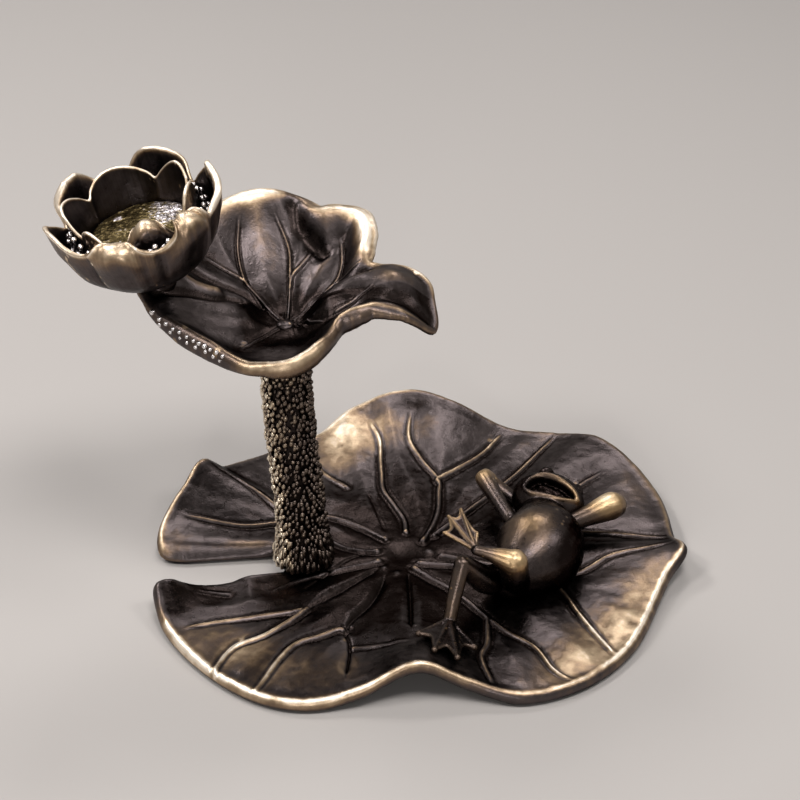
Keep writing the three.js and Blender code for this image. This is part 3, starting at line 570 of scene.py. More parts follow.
# Steps of colour from the darkest hollow to the brightest rubbed edge, as (mask, colour).
DARK_STEPS = [
    (0.0, (0.022, 0.0165, 0.015)), (0.14, (0.052, 0.043, 0.042)), (0.30, (0.092, 0.076, 0.074)),
    (0.44, (0.140, 0.102, 0.080)), (0.60, (0.27, 0.19, 0.122)), (0.80, (0.56, 0.43, 0.29)), (1.0, (0.93, 0.82, 0.68)),
]
FROG_STEPS = [
    (0.0, (0.016, 0.011, 0.010)), (0.20, (0.062, 0.050, 0.048)), (0.42, (0.15, 0.105, 0.074)),
    (0.62, (0.37, 0.25, 0.135)), (0.82, (0.68, 0.50, 0.29)), (1.0, (0.94, 0.81, 0.60)),
]
# The top steps, pale lavender-silver, serve mostly the plate's painted sheen.
PLATE_STEPS = [
    (0.0, (0.030, 0.022, 0.011)), (0.3, (0.11, 0.082, 0.036)), (0.5, (0.24, 0.185, 0.085)),
    (0.7, (0.42, 0.38, 0.36)), (1.0, (0.80, 0.76, 0.80)),
]
STALK_STEPS = [
    (0.0, (0.012, 0.009, 0.008)), (0.25, (0.050, 0.039, 0.036)), (0.45, (0.13, 0.10, 0.082)),
    (0.7, (0.42, 0.33, 0.23)), (1.0, (0.88, 0.78, 0.63)),
]
leaf_metal = patina("leaf_metal", DARK_STEPS, (0.28, 0.43), grain=0.32)
petal_metal = patina("petal_metal", DARK_STEPS, (0.29, 0.42), grain=0.28)
frog_metal = patina("frog_metal", FROG_STEPS, (0.25, 0.42), grain=0.3, edge=2.2)
plate_metal = patina("plate_metal", PLATE_STEPS, (0.48, 0.40), grain=0.75, patch=0.4, cell=0.8)
stalk_metal = patina("stalk_metal", STALK_STEPS, (0.27, 0.25), grain=0.12, edge=3.0)
bead_metal = patina("bead_metal", [
    (0.0, (0.10, 0.09, 0.09)), (0.4, (0.34, 0.31, 0.31)), (1.0, (0.86, 0.83, 0.82)),
], (0.30, 0.22), grain=0.1, edge=2.0)
screw_metal = patina("screw_metal", [
    (0.0, (0.16, 0.16, 0.17)), (0.5, (0.38, 0.385, 0.40)), (1.0, (0.66, 0.67, 0.69)),
], (0.34, 0.28), grain=0.12, edge=3.0)


# ---------------------------------------------------------------- tray leaf

# Veins as (strength, stations of direction and radius). A raised vein has a fine groove on each side.
TRAY_VEINS = [
    (1.0, [(76, 5), (85, 9.5), (94, 14), (100, 20), (99, 25), (98, 30), (97, 37), (99, 43)]),
    (1.0, [(20, 5), (46, 9.5), (58, 15), (67, 21), (71, 25), (81, 30), (87, 37), (87, 45)]),
    (1.0, [(70, 24), (71, 25.2), (66, 30), (62, 37), (61, 46)]),
    (0.9, [(30, 8), (42, 20), (45, 32), (47, 40), (48, 45), (49, 52)]),
    (0.8, [(10, 30), (6, 40), (4, 46), (1, 55)]),
    (0.9, [(340, 9), (341, 20), (343, 35), (353, 43), (356, 51), (358, 56)]),
    (1.0, [(330, 30), (336, 34), (327, 42), (322, 49), (319, 55)]),
    (1.0, [(290, 8), (300, 13), (305, 19), (306, 34), (308, 42), (306, 50), (307, 55)]),
    (0.8, [(305, 30), (298, 36), (293, 40), (291, 49)]),
    (0.9, [(303, 6.8), (318, 9), (328, 12), (334, 17)]),
    (0.35, [(255, 35), (266, 34.4), (273, 35)]),
    (0.9, [(249, 30), (246, 30.6), (242, 34), (238, 38), (238, 44), (239, 49), (240, 55)]),
    (1.0, [(229, 28), (229, 33), (228, 40), (226, 46), (228, 52), (231, 56)]),
    (0.9, [(228, 29), (219, 38), (216, 43), (213, 50)]),
    (0.8, [(231, 6.4), (220, 10), (213, 15), (210, 22), (211, 30)]),
    (1.0, [(140, 4), (140, 10.8), (146, 18), (160, 24), (165, 27), (170, 34), (170, 46)]),
    (0.7, [(200, 5), (185, 9.8), (172, 15), (164, 20)]),
    (0.3, [(206, 38), (202, 44), (200, 49)]),
    (0.6, [(156, 28), (152, 37), (152, 45)]),
    (0.45, [(118, 24), (122, 32), (121, 40)]),
    (0.5, [(24, 34), (28, 42), (30, 50)]),
]
# Veins that are only a groove.
TRAY_CUTS = [
    (1.0, [(253, 9), (254, 18.6), (249, 29), (254, 35), (257, 46)]),
    (0.9, [(282, 8), (276, 19.5), (274, 31)]),
    (1.0, [(240, 8), (233, 16), (231, 21.5), (228, 29)]),
    (0.6, [(196, 7), (204, 12), (212, 17), (219, 26)]),
    (0.5, [(120, 6), (112, 12), (110, 20)]),
    (0.5, [(30, 8), (24, 14), (22, 20)]),
]
FAR_CORNER = np.array([-50.5, -4.0])
NEAR_CORNER = np.array([-46.0, -17.0])
# Small bright bosses where the veins leave the hub.
TRAY_BOSSES = [
    (138, 3.2), (200, 4.6), (226, 6.6), (247, 7.9), (266, 9.4), (294, 8.3), (312, 6.4), (75, 4.6), (28, 5), (345, 6),
]
# Worn gold on the outer parts of the front and the back left, as (x, y, radius, strength).
TRAY_GOLD = [
    (-25, -38, 14, 0.30), (-37, -31, 11, 0.30), (-12, -38, 9, 0.2), (39, -36, 13, 0.42), (30, -42, 9, 0.2),
    (52, -14, 9, 0.34), (47, -25, 9, 0.3), (-6, 36, 12, 0.34), (4, 46, 7, 0.2), (-16, 27, 10, 0.32),
    (27, 41, 12, 0.16), (-12, 42, 8, 0.3), (-46, 2, 5, 0.2),
]
# The mesh's spacing, its rings behind the edge and its rows beside the veins.
TRAY_SPACING = 0.55
TRAY_RINGS = (0.1, 0.3, 0.6, 0.95, 1.4, 1.95)
TRAY_VEIN_ROWS = (-1.3, -0.95, -0.65, -0.32, 0, 0.32, 0.65, 0.95, 1.3)
TRAY_CUT_ROWS = (-0.75, -0.4, -0.2, 0, 0.2, 0.4, 0.75)
# How bright the tray's rim is worn, as (direction, wear).
TRAY_SHINE = np.array([
    (0, 0.5), (12, 0.2), (40, 0.16), (60, 0.12), (72, 0.2), (84, 0.4), (96, 0.55), (106, 0.7), (116, 0.5), (130, 0.2),
    (150, 0.3), (160, 0.45), (172, 0.5), (184, 0.55), (192, 0.3), (204, 0.2), (212, 0.75), (225, 0.85), (245, 0.8),
    (256, 0.7), (268, 0.62), (280, 0.5), (290, 0.3), (305, 0.35), (325, 0.55), (338, 0.75), (350, 0.7), (360, 0.5),
])


def tray_radius(direction):
    return TRAY_RADIUS + round_rim(TRAY_RIM, direction, 1)


def tray_lift(x, y):
    """How far the tray's underside lifts off the table."""
    direction = bearing(x, y)
    share = np.clip(np.hypot(x, y) / tray_radius(direction), 0, 1.02)
    return np.maximum(0, round_rim(TRAY_RIM, direction, 2)) * share ** TRAY_CURL


def vein_field(flat, veins, width, taper, groove):
    """Raised veins with a groove on each side: height share, distance, crest and groove."""
    crest = np.zeros(len(flat))
    valley = np.zeros(len(flat))
    apart = np.full(len(flat), 99.0)
    for strength, route in veins:
        low, high = route.min(0) - 7, route.max(0) + 7
        near = np.nonzero(((flat > low) & (flat < high)).all(1))[0]
        if not len(near):
            continue
        d, which = nearest(flat[near], route)
        along = which / (len(route) - 1)
        size = strength * (1 - taper * along) * smooth(along, 1.0, 0.86) ** 0.5
        w = width * (1 - 0.3 * along)
        crest[near] = np.maximum(crest[near], size * np.exp(-(d / w) ** 2 * 1.6))
        valley[near] = np.maximum(valley[near], size * bell(d - 1.65 * w, 0.55 * w))
        apart[near] = np.minimum(apart[near], d)
    valley = valley * (1 - np.clip(crest * 1.5, 0, 1))
    return crest - groove * valley, apart, crest, valley


def line_field(flat, lines, width):
    """Soft band along each line, as (strength, route)."""
    total = np.zeros(len(flat))
    for strength, route in lines:
        low, high = route.min(0) - 4 * width, route.max(0) + 4 * width
        near = np.nonzero(((flat > low) & (flat < high)).all(1))[0]
        if len(near):
            d, which = nearest(flat[near], route)
            along = which / (len(route) - 1)
            ends = smooth(along, 0, 0.12) * smooth(along, 1, 0.88)
            total[near] = np.maximum(total[near], strength * ends * bell(d, width))
    return total


def beside(veins, shifts):
    """Rows of points along each vein and beside it, so that the mesh follows it."""
    rows = []
    for _, route in veins:
        heading = np.gradient(route, axis=0)
        heading /= np.linalg.norm(heading, axis=1, keepdims=True)
        side = np.stack([-heading[:, 1], heading[:, 0]], 1)
        rows += [(route + side * shift)[::2] for shift in shifts]
    return rows


def blobs(flat, spots):
    """Sum of soft round spots of (x, y, radius, strength)."""
    total = np.zeros(len(flat))
    for x, y, radius, strength in spots:
        total += strength * np.exp(-((flat[:, 0] - x) ** 2 + (flat[:, 1] - y) ** 2) / radius ** 2)
    return total


def tray_outline():
    """Rim of the tray with the cleft cut into it."""
    along = CLEFT_MOUTH - CLEFT_END
    length = np.linalg.norm(along)
    along = along / length
    across = np.array([-along[1], along[0]])
    slope = (CLEFT_MOUTH_WIDTH - CLEFT_END_WIDTH) / 2 / length
    direction = np.arange(0, 360, 0.25)
    rim = polar(np.column_stack([direction, tray_radius(direction)]))
    out = (rim - CLEFT_END) @ along
    aside = (rim - CLEFT_END) @ across
    cut = np.nonzero((out > 0) & (np.abs(aside) < CLEFT_END_WIDTH / 2 + slope * out))[0]
    kept = np.vstack([rim[cut[-1] + 1:], rim[:cut[0]]])

    def side(end):
        """One side of the cleft, from its inner end out to an end of the rim."""
        run = (np.linspace(0, 1, 60) * ((end - CLEFT_END) @ along))[:, None]
        sign = np.sign((end - CLEFT_END) @ across)
        return CLEFT_END + run * along + sign * (CLEFT_END_WIDTH / 2 + slope * run) * across

    loop = resample(np.vstack([kept, side(kept[-1])[::-1], side(kept[0])]), 0.3)
    loop = soften(loop, 0.9, 0.3)
    # The corner of the far lobe at the cleft's mouth is well rounded.
    round_loop = soften(loop, 4.0, 0.3)
    weight = smooth(np.linalg.norm(loop - FAR_CORNER, axis=1), 11, 4)[:, None]
    return loop * (1 - weight) + round_loop * weight


# Places and heights of the dressed tray's top, which build_tray fills in.
tray_tree = kdtree.KDTree(200000)
tray_tops = []


def tray_skin_top(points):
    """Height of the dressed tray under each point."""
    return np.array([tray_tops[tray_tree.find((p[0], p[1], 0))[1]] for p in points])


def build_tray():
    loop = resample(tray_outline(), 0.36)
    veins, cuts = routes(TRAY_VEINS, 0.25), routes(TRAY_CUTS, 0.25)
    rows = beside(veins, TRAY_VEIN_ROWS) + beside(cuts, TRAY_CUT_ROWS)
    flat, triangles = plan_mesh(loop, TRAY_SPACING, TRAY_RINGS, rows)
    x, y = flat.T
    lift = tray_lift(x, y)
    height, apart, crest, valley = vein_field(flat, veins, width=0.62, taper=0.5, groove=0.6)
    cut_depth = line_field(flat, cuts, width=0.32)
    cut_near = line_field(flat, cuts, width=1.6)
    boss = np.clip(blobs(flat, [(*place, 0.9, 1) for place in polar(TRAY_BOSSES)]), 0, 1)
    radius = np.hypot(x, y)
    from_hub = np.hypot(x, y + 2.3)
    direction = bearing(x, y)
    share = radius / tray_radius(direction)
    depth = edge_distance(flat, loop)
    quilt = 0.62 * smooth(np.minimum(apart, 9 - 8 * cut_near), 0.6, 6.5)
    quilt *= smooth(radius, 5, 16) * (1 - smooth(share, 0.9, 1.0))
    waves = 0.2 * cloudy(flat, 9, 3) + 0.09 * cloudy(flat, 2.4, 5) + 0.05 * cloudy(flat, 0.9, 6)
    ripple_at = np.column_stack([direction / 5.0, radius / 26.0])
    ripples = 0.16 * cloudy(ripple_at, 1.0, 8) * smooth(share, 0.5, 0.8)
    dish = -0.7 * bell(from_hub, 3.1)
    # The far side of the cleft rolls over softly, and the near side is a wavy lip.
    far_side = smooth(y, -9.5, -7) * smooth(y, 2, -3) * smooth(x, -24, -29)
    roll = 1.7 * bell(depth, 2.3) * far_side
    lip = 0.3 * bell(depth - 1.1, 1.1) * (1 - far_side)
    top = TRAY_THICKNESS - 0.3 + lift + 0.62 * height - 0.5 * cut_depth + quilt + waves + ripples + dish + lip - roll
    top = top + 0.32 * boss
    # The corner of the near lobe turns up, and its edge beside the cleft sinks next to it.
    turned = oval(flat, *NEAR_CORNER, 3.6, 4.0)
    sunk = bell(x + 35.5, 5.5) * bell(depth, 2.6) * smooth(y, -11.5, -12.5) * smooth(y, -24, -20)
    top = top + 1.9 * turned - 1.1 * sunk
    bottom = np.maximum(0, lift - TRAY_FLAT + 1.2 * turned)
    thickness = np.maximum(top - bottom, 1.0)
    middle = (top + bottom) / 2
    half = thickness / 2 * rounded(depth, 1.2)
    up = np.column_stack([flat, middle + half])
    down = np.column_stack([flat, middle - half])
    if vertex_normals(up, triangles)[:, 2].mean() < 0:
        triangles = triangles[:, ::-1]
    faces, used = sheet_faces(triangles, depth)
    # Worn gold: the outer parts, the rim's upper edge and the veins.
    patches = np.clip(1 + 0.55 * cloudy(flat, 6, 41) + 0.4 * cloudy(flat, 1.4, 42), 0.4, 1.4)
    rub = blobs(flat, TRAY_GOLD) * smooth(share, 0.4, 0.85) * patches + 0.08 * smooth(share, 0.35, 0.9)
    rim_bright = np.interp(direction, *TRAY_SHINE.T) * smooth(share, 0.9, 0.985) * patches
    # At the right the gold is only a thin upper edge, over a wall darkened as painted shade.
    thin = np.interp(direction, [0, 8, 200, 285, 300, 360], [1, 0.4, 0, 0, 1, 1])
    rub += rim_bright * bell(depth - 0.8 - 0.3 * thin, 0.55 - 0.22 * thin)
    rub += 0.1 * smooth(depth, 0.7, 0.2) * smooth(direction, 180, 200) * smooth(direction, 305, 275)
    rub += 0.42 * crest * (0.45 + 0.55 * smooth(share, 0.25, 0.7)) * patches + 0.05 + 0.25 * boss
    # A painted highlight runs along the far lobe's rolled front edge, here and in the spot at x -31 below. A painted
    # sheen sits on the right back lobe, the spot at x 50. The near lobe's turned-up corner is a little lighter, and a
    # patch just inside the back rim is darker.
    rub += 0.12 * far_side * bell(depth - 1.9, 1.0)
    rub += 0.2 * oval(flat, 50, 17, 9, 12) + 0.12 * turned
    rub += 0.3 * oval(flat, -31, 0.4, 7, 1.5) - 0.4 * oval(flat, 3, 46.5, 6, 3.2)
    # Patina darkens the veins' grooves, the cuts and a small dish at the hub. The middle, the front of the middle and
    # the near lobe's corner are darkened as painted shade under the upper leaf.
    dark = 0.34 * valley + 0.4 * cut_depth + 0.16 * (1 - smooth(radius, 6, 24))
    dark = dark + 0.12 * smooth(y, 8, -20) * (1 - smooth(share, 0.5, 0.8))
    dark = dark + 0.3 * (1 - smooth(np.hypot(x + 43, y + 17), 4, 11)) + 0.1 * bell(from_hub, 3.4)
    # Painted shade on the rim's wall at the right.
    dark = dark + 0.3 * thin * smooth(depth, 0.75, 0.4)
    wall_gold = smooth(direction, 180, 200) * smooth(direction, 300, 275)
    rub = np.concatenate([rub, 0.12 + 0.2 * wall_gold * bell(depth, 0.9)])
    dark = np.concatenate([dark, np.full(len(flat), 0.1)])
    for i, place in enumerate(up[::3]):
        tray_tree.insert(place * [1, 1, 0], i)
        tray_tops.append(place[2])
    tray_tree.balance()
    make_piece("tray_leaf_skin", np.vstack([up, down])[used], faces, leaf_metal,
               ["tray_leaf"], rub[used], dark[used])


# ---------------------------------------------------------------- upper leaf

TRAY_SEAT = TRAY_THICKNESS + float(tray_lift(*STALK_FOOT)) + SEAT_RISE
CUP_HUB = np.array([STALK_FOOT[0] + STALK[-1][1], STALK_FOOT[1] + STALK[-1][2],
                    TRAY_SEAT + STALK_HEIGHT + CUP_THICKNESS])


def cup_height(x, y):
    """Height of the upper leaf over its hub, at places measured from the hub."""
    reach, mid, rim = (round_rim(CUP_RIM, bearing(x, y), k) for k in (1, 2, 3))
    share = np.hypot(x, y) / reach
    bend = (CUP_MID * rim - mid) / (CUP_MID - CUP_MID ** 2)
    slope = rim - bend
    start = smooth(share, CUP_FLAT_HUB, 3 * CUP_FLAT_HUB)
    return (slope * share + bend * share * share) * start, share


# Veins, folds and a ridge by direction and distance from the hub, in the leaf's plan.
CUP_VEINS = [
    (1.0, [(80, 2.2), (86, 7), (88, 12), (89, 17), (92, 20), (97, 23)]),
    (0.8, [(87, 10), (86, 12.6), (79, 15), (74, 18)]),
    (1.0, [(122, 2.2), (123, 8), (127, 12), (129, 14), (136, 16.6), (142, 20)]),
    (0.9, [(128, 12.5), (126, 15), (121, 19), (115, 22.5)]),
    (1.0, [(46, 2.4), (42, 6), (40, 9), (40, 12), (34, 14.2), (29, 17)]),
    (0.9, [(40, 10.5), (43, 13.5), (52, 17.3), (60, 21)]),
    (0.8, [(338, 10.5), (343, 12.5), (349, 14), (2, 17)]),
    (0.9, [(4, 2.4), (342, 4), (331, 5.6), (330, 8.5)]),
    (0.3, [(225, 2), (226, 6), (231, 12.5)]),
]
# Folds as (strength, depth, line, width).
CUP_FOLDS = [
    (1.0, 1.35, [(91, 27), (89, 24.9), (86, 22.5), (80, 20.2), (73, 18.6), (66, 17.6), (60, 17.2)], 1.6),
    (1.0, 1.3, [(125, 6), (136, 10), (146, 12.6), (153, 15.7), (157, 19.7), (159, 23)], 1.0),
    (1.0, 1.2, [(150, 8), (165, 11.5), (175, 14), (181, 18), (187, 22.6), (189, 26.5)], 1.0),
]
CUP_RIDGE = [(1.0, [(160, 12.5), (166, 14.5), (170, 17.3), (171, 20), (172, 23)])]
CUP_SPACING = 0.45
CUP_RINGS = (0.09, 0.24, 0.45, 0.75, 1.1, 1.5)
CUP_VEIN_ROWS = (-1.0, -0.7, -0.48, -0.28, -0.1, 0.1, 0.28, 0.48, 0.7, 1.0)
# Rim by direction: how far its top stands over the solid's, and how thick the sheet is there.
CUP_EDGE = np.array([
    (0, -0.2, 2.0), (20, 0, 2.0), (40, 0, 2.1), (50, -0.5, 2.1), (57, -0.9, 2.1), (64, -0.5, 2.1), (72, 0.1, 2.1),
    (90, -0.2, 2.1), (100, 0.2, 2.1), (110, 0.8, 2.1), (122, 0.9, 2.1), (140, 0.2, 2.1), (180, 0, 2.1),
    (191, -0.5, 1.9), (198, -0.3, 3.0), (208, 0.7, 4.1), (218, 1.0, 4.2), (228, 1.2, 4.2), (240, 0.6, 3.4),
    (252, 0.5, 2.7), (260, 1.1, 2.9), (270, 1.8, 3.6), (280, 2.2, 4.0), (290, 2.0, 3.9), (297, 1.4, 3.6),
    (305, 0.5, 3.2), (312, 0.1, 3.3), (318, 0.5, 3.7), (324, 1.1, 4.2), (329, 1.4, 4.3), (334, 1.4, 3.8),
    (339, 1.3, 2.9), (343, 0.9, 2.2), (347, 0, 1.7), (351, -1.2, 1.5), (355, -0.7, 1.7), (360, -0.2, 2.0),
], float)
# Wear along the rim, partly a painted highlight where the rims of the right lobe and the tongue roll over, as
# (direction, wear, width).
CUP_SHINE = np.array([
    (0, 0.15, 0.9), (6, 0.5, 0.9), (12, 0.75, 1.0), (22, 0.7, 0.9), (30, 0.6, 1.4), (38, 0.8, 2.2), (50, 0.95, 3.2),
    (64, 0.9, 2.2), (76, 0.65, 1.6), (84, 0.15, 1.0), (90, 0.3, 1.0), (97, 0.7, 1.3), (108, 0.75, 1.5),
    (122, 0.5, 1.1), (150, 0.2, 0.9), (185, 0.12, 0.7), (215, 0.14, 0.6), (236, 0.3, 0.7), (252, 0.7, 1.0),
    (290, 0.75, 1.0), (302, 0.35, 0.8), (318, 0.6, 0.8), (330, 0.75, 0.8), (343, 0.6, 0.8), (350, 0.15, 0.9),
    (360, 0.15, 0.9),
])
# Rows of cast studs on the outer wall, as (first direction, last, height over the edge, least gap, widest gap).
STUD_ROWS = [(196, 238, 0.35, 3.0, 4.4), (200, 236, -0.75, 4, 7)]


def build_upper_leaf():
    direction = np.arange(0, 360, 0.5)
    loop = resample(polar(np.column_stack([direction, round_rim(CUP_RIM, direction, 1)])), 0.3)
    veins = routes(CUP_VEINS, 0.2)
    flat, triangles = plan_mesh(loop, CUP_SPACING, CUP_RINGS, beside(veins, CUP_VEIN_ROWS))
    x, y = flat.T
    rise, share = cup_height(x, y)
    height, apart, crest, valley = vein_field(flat, veins, width=0.30, taper=0.3, groove=1.2)
    radius = np.hypot(x, y)
    angle = bearing(x, y)
    depth = edge_distance(flat, loop)
    swell = 2.6 * bell(np.linalg.norm(flat + CUP_HUB[:2] - FLOWER_FOOT[:2], axis=1), 5.5)
    fold = np.zeros(len(flat))
    fold_dark = np.zeros(len(flat))
    for strength, deep, line, width in CUP_FOLDS:
        near_fold = line_field(flat, routes([(strength, line)], 0.3), width)
        fold = fold + deep * near_fold
        fold_dark = np.maximum(fold_dark, near_fold)
    ridge = line_field(flat, routes(CUP_RIDGE, 0.3), width=1.1)
    # Near the front and the left the leaf turns up steeply, so that its outer side shows.
    turn_up = np.interp(angle, [0, 178, 195, 240, 262, 285, 305, 332, 346, 354, 360],
                        [0, 0, 0.8, 0.9, 0.8, 0.8, 0.5, 0.5, 0.2, 0, 0])
    t = np.clip((share - 0.4) / 0.6, 0, 1)
    dip = turn_up * 6.75 * t * t * (1 - t)
    edge_top, edge_thick = read_table(CUP_EDGE, angle)
    raised = edge_top * smooth(depth, 4.6, 0.7)
    # The rims of the right lobe, the back lobe and the front bend outward over a bulge just inside them.
    roll = np.interp(angle, [0, 10, 18, 25, 30, 38, 80, 86, 92, 98, 125, 140, 345, 352, 360],
                     [-0.7, -0.8, -0.5, 0.2, 0.8, 1.1, 1.1, 0.4, 0.4, 0.8, 0.7, 0.1, 0.1, -0.4, -0.7])
    bulge = roll * smooth(depth, 0, 1.9) * smooth(depth, 6.5, 2.2)
    hollow = 0.5 * bell(depth - 5.0, 1.9) * smooth(angle, 28, 42) * smooth(angle, 84, 72)
    puff = 1.15 * smooth(apart, 0.3, 4.8) * smooth(radius, 3, 10) * (1 - smooth(share, 0.82, 1))
    puff = puff * (1 - 0.6 * smooth(angle, 190, 215) * smooth(angle, 345, 320))
    top = CUP_HUB[2] + rise + 0.36 * height + swell + 0.9 * ridge - dip + raised + bulge
    top -= fold * smooth(depth, 0, 2.5)
    # A low swelling where the tongue leaves the bowl catches the light.
    swelling = oval(flat, 18.8, 1.6, 4.2, 3.0)
    top = top + puff - hollow + 0.9 * swelling
    top = top + 0.045 * cloudy(flat, 1.4, 11) + 0.12 * cloudy(flat, 5, 12) + 0.02 * cloudy(flat, 0.6, 13)
    at_edge = smooth(depth, 4.2, 0.6)
    inner_thick = CUP_THICKNESS * (1 - 0.15 * share)
    thickness = inner_thick + (edge_thick - inner_thick) * at_edge
    upright = 1.2 * smooth(edge_thick, 2.2, 3.6) * at_edge
    points, faces, edge, used = leaf_shell(flat, triangles, loop, top, thickness, rim_round=0.9, upright=upright)
    points[:, :2] += CUP_HUB[:2]
    patches = np.clip(1 + 0.35 * cloudy(flat, 3, 43) + 0.2 * cloudy(flat, 1.0, 44), 0.5, 1.3)
    # Rim wear, partly a painted highlight.
    rim_wear_and_highlight, wide = read_table(CUP_SHINE, angle)
    rub = rim_wear_and_highlight * bell(np.maximum(depth - 0.25 * wide, 0), wide) * patches
    # The wall below the crest stays dark at the left and under the tongue.
    wall_dark = np.interp(angle, [0, 150, 195, 240, 256, 290, 305, 318, 346, 352, 360],
                          [0.4, 0.4, 0.8, 0.8, 0.5, 0.5, 0.8, 0.92, 0.92, 0.4, 0.4])
    rub = rub * (1 - wall_dark * smooth(depth, 0.62, 0.3))
    # Painted sheen near the back lobe's rim.
    rub += 0.20 * bell(depth, 4.5) * smooth(angle, 95, 105) * smooth(angle, 135, 120)
    rub += 0.2 * crest + 0.07 + 0.24 * ridge + 0.12 * smooth(apart, 0.5, 3.5) * smooth(radius, 5, 12)
    # Painted sheen on the back and right walls of the bowl, and a painted highlight on the swelling by the tongue.
    rub += 0.1 * smooth(angle, 20, 35) * smooth(angle, 140, 110) * smooth(radius, 8, 14) + 0.26 * swelling
    # Painted sheen on the back panel.
    rub += 0.12 * oval(flat, -2.0, 17.5, 3.2, 5.0)
    dark = 0.55 * valley + 0.4 * fold_dark + 0.22 * (1 - smooth(radius, 4, 13))
    dark = dark + 0.16 * bell(depth - 4.6, 1.4) * smooth(angle, 32, 42) * smooth(angle, 66, 56)
    # The tongue's tip is darkened as painted shade where it curls down.
    dark = dark + 0.2 * smooth(angle, 343, 352) * smooth(depth, 0.8, 2.0)
    # The outer wall is gold-brown at the front, dark under the tongue and grey at the left.
    wall_rub = np.interp(angle, [0, 150, 195, 240, 252, 290, 303, 320, 345, 360],
                         [0.12, 0.12, 0.16, 0.2, 0.42, 0.42, 0.2, 0.2, 0.14, 0.12])
    under_rub = 0.12 + (wall_rub - 0.12 + 0.1 * cloudy(flat, 1.2, 45)) * bell(depth, 1.2)
    rub = np.concatenate([rub, under_rub])[used]
    dark = np.concatenate([dark, np.full(len(flat), 0.03)])[used]
    make_piece("upper_leaf_skin", points, faces, leaf_metal, ["upper_leaf"], rub, dark)
    add_studs(points[edge < ON_EDGE])


def add_studs(outline):
    """Cast studs in two loose rows on the outer wall below the left edge."""
    around = bearing(*(outline - CUP_HUB)[:, :2].T)
    order = np.argsort(around)
    spin = np.random.default_rng(17)
    bodies = []
    for low, high, shift, least, widest in STUD_ROWS:
        at = low
        while at < high:
            place = [np.interp(at, around[order], outline[order, k]) for k in range(3)]
            out = np.array([math.cos(math.radians(at)), math.sin(math.radians(at)), 0])
            size = spin.uniform(0.42, 0.6)
            centre = np.array(place) - out * 0.2 + [0, 0, shift + spin.uniform(-0.12, 0.12)]
            bodies.append(ball(size, centre, around=12, down=8))
            at += spin.uniform(least, widest)
    points, faces = merge(bodies)
    make_piece("leaf_studs", points, faces, bead_metal, (), np.full(len(points), 0.42))


# ---------------------------------------------------------------- flower

def in_flower(points):
    """From the flower's own frame, which leans on its foot, to the part's."""
    a, b = FLOWER_LEAN
    turn_y = np.array([[math.cos(a), 0, math.sin(a)], [0, 1, 0], [-math.sin(a), 0, math.cos(a)]])
    return np.asarray(points) @ (turn_y @ turn_x(b)).T + FLOWER_FOOT


PROFILE = catmull(FLOWER_PROFILE, 0.1)
PROFILE_RUN = np.concatenate([[0], np.cumsum(np.linalg.norm(np.diff(PROFILE, axis=0), axis=1))])


def profile_at(run):
    """Radius and height of the flower's outer wall at a length along its profile."""
    return np.interp(run, PROFILE_RUN, PROFILE[:, 0]), np.interp(run, PROFILE_RUN, PROFILE[:, 1])


def streaks(direction, height, seed):
    """Fine lines that run up a petal, from zero to one."""
    coarse = hash_noise(np.column_stack([direction / 3.6, height / 9.0]), seed)
    fine = hash_noise(np.column_stack([direction / 1.1, height / 5.0]), seed + 1)
    return np.clip(0.5 + 0.42 * coarse + 0.16 * fine, 0, 1)


def rim_noise(direction, size, seed):
    return hash_noise(np.column_stack([direction / size, direction * 0]), seed)


class Petals:
    """Rings of points up and down a ring of petals, each ring with its paint."""

    def __init__(self, around, notches, curl_turn):
        self.around = around
        self.direction = np.arange(around) / around * 360
        self.turn = np.radians(self.direction)
        self.away = np.min([np.abs(np.mod(self.direction - n + 180, 360) - 180) for n in notches], axis=0)
        self.curl_turn = math.radians(curl_turn)
        self.rings, self.rubs, self.darks = [], [], []

    def curl(self, curl, full_curl, run, extra_run, arc_run):
        """How the tips curl in: those that curl far follow an arc at the end of their run, the others lean."""
        self.curled = smooth(curl, 0.9, full_curl)
        self.arc = self.curl_turn * self.curled + 1e-4
        self.arc_run = arc_run
        self.full_run = run + extra_run * self.curled
        self.pull = np.minimum(curl, 1.0) * (1 - self.curled)

    def along(self, share):
        """Run to a share of a petal, its part before the arc, and the arc's turn, reach ahead and reach in there."""
        run = share * self.full_run
        start = self.full_run - self.arc_run
        phi = self.arc * np.clip(run - start, 0, self.arc_run) / self.arc_run
        radius = self.arc_run / self.arc
        return run, np.minimum(run, start), phi, radius * np.sin(phi), radius * (1 - np.cos(phi))

    def add(self, radius, height, rub, dark):
        self.rings.append(circle(radius, height, self.turn))
        self.rubs.append(np.broadcast_to(rub, self.turn.shape))
        self.darks.append(np.broadcast_to(dark, self.turn.shape))

    def round_edge(self, outer, inner, swell, rub, dark):
        """Half round from the edge of the outer skin to that of the inner skin."""
        (r0, h0), (r1, h1) = outer, inner
        middle_r, middle_h, half_r, half_h = (r0 + r1) / 2, (h0 + h1) / 2, (r0 - r1) / 2, (h0 - h1) / 2
        for angle in (math.pi / 4, math.pi / 2, math.pi * 3 / 4):
            c, s = math.cos(angle), swell * math.sin(angle)
            self.add(middle_r + half_r * c - half_h * s, middle_h + half_h * c + half_r * s, rub, dark)


# Tips of the outer petals that are rolled in and rubbed, as (direction, glow).
OUTER_GLOW = np.array([
    (0, 0.2), (20, 0.2), (47, 0.1), (78, 0.2), (109, 0.1), (143, 0.2), (169, 0.1), (199, 0.2), (225, 0.2), (244, 0.5),
    (256, 1.0), (266, 0.9), (276, 0.3), (291, 0.1), (308, 0.5), (318, 1.0), (326, 0.9), (336, 0.3), (346, 0.1),
    (360, 0.2),
])
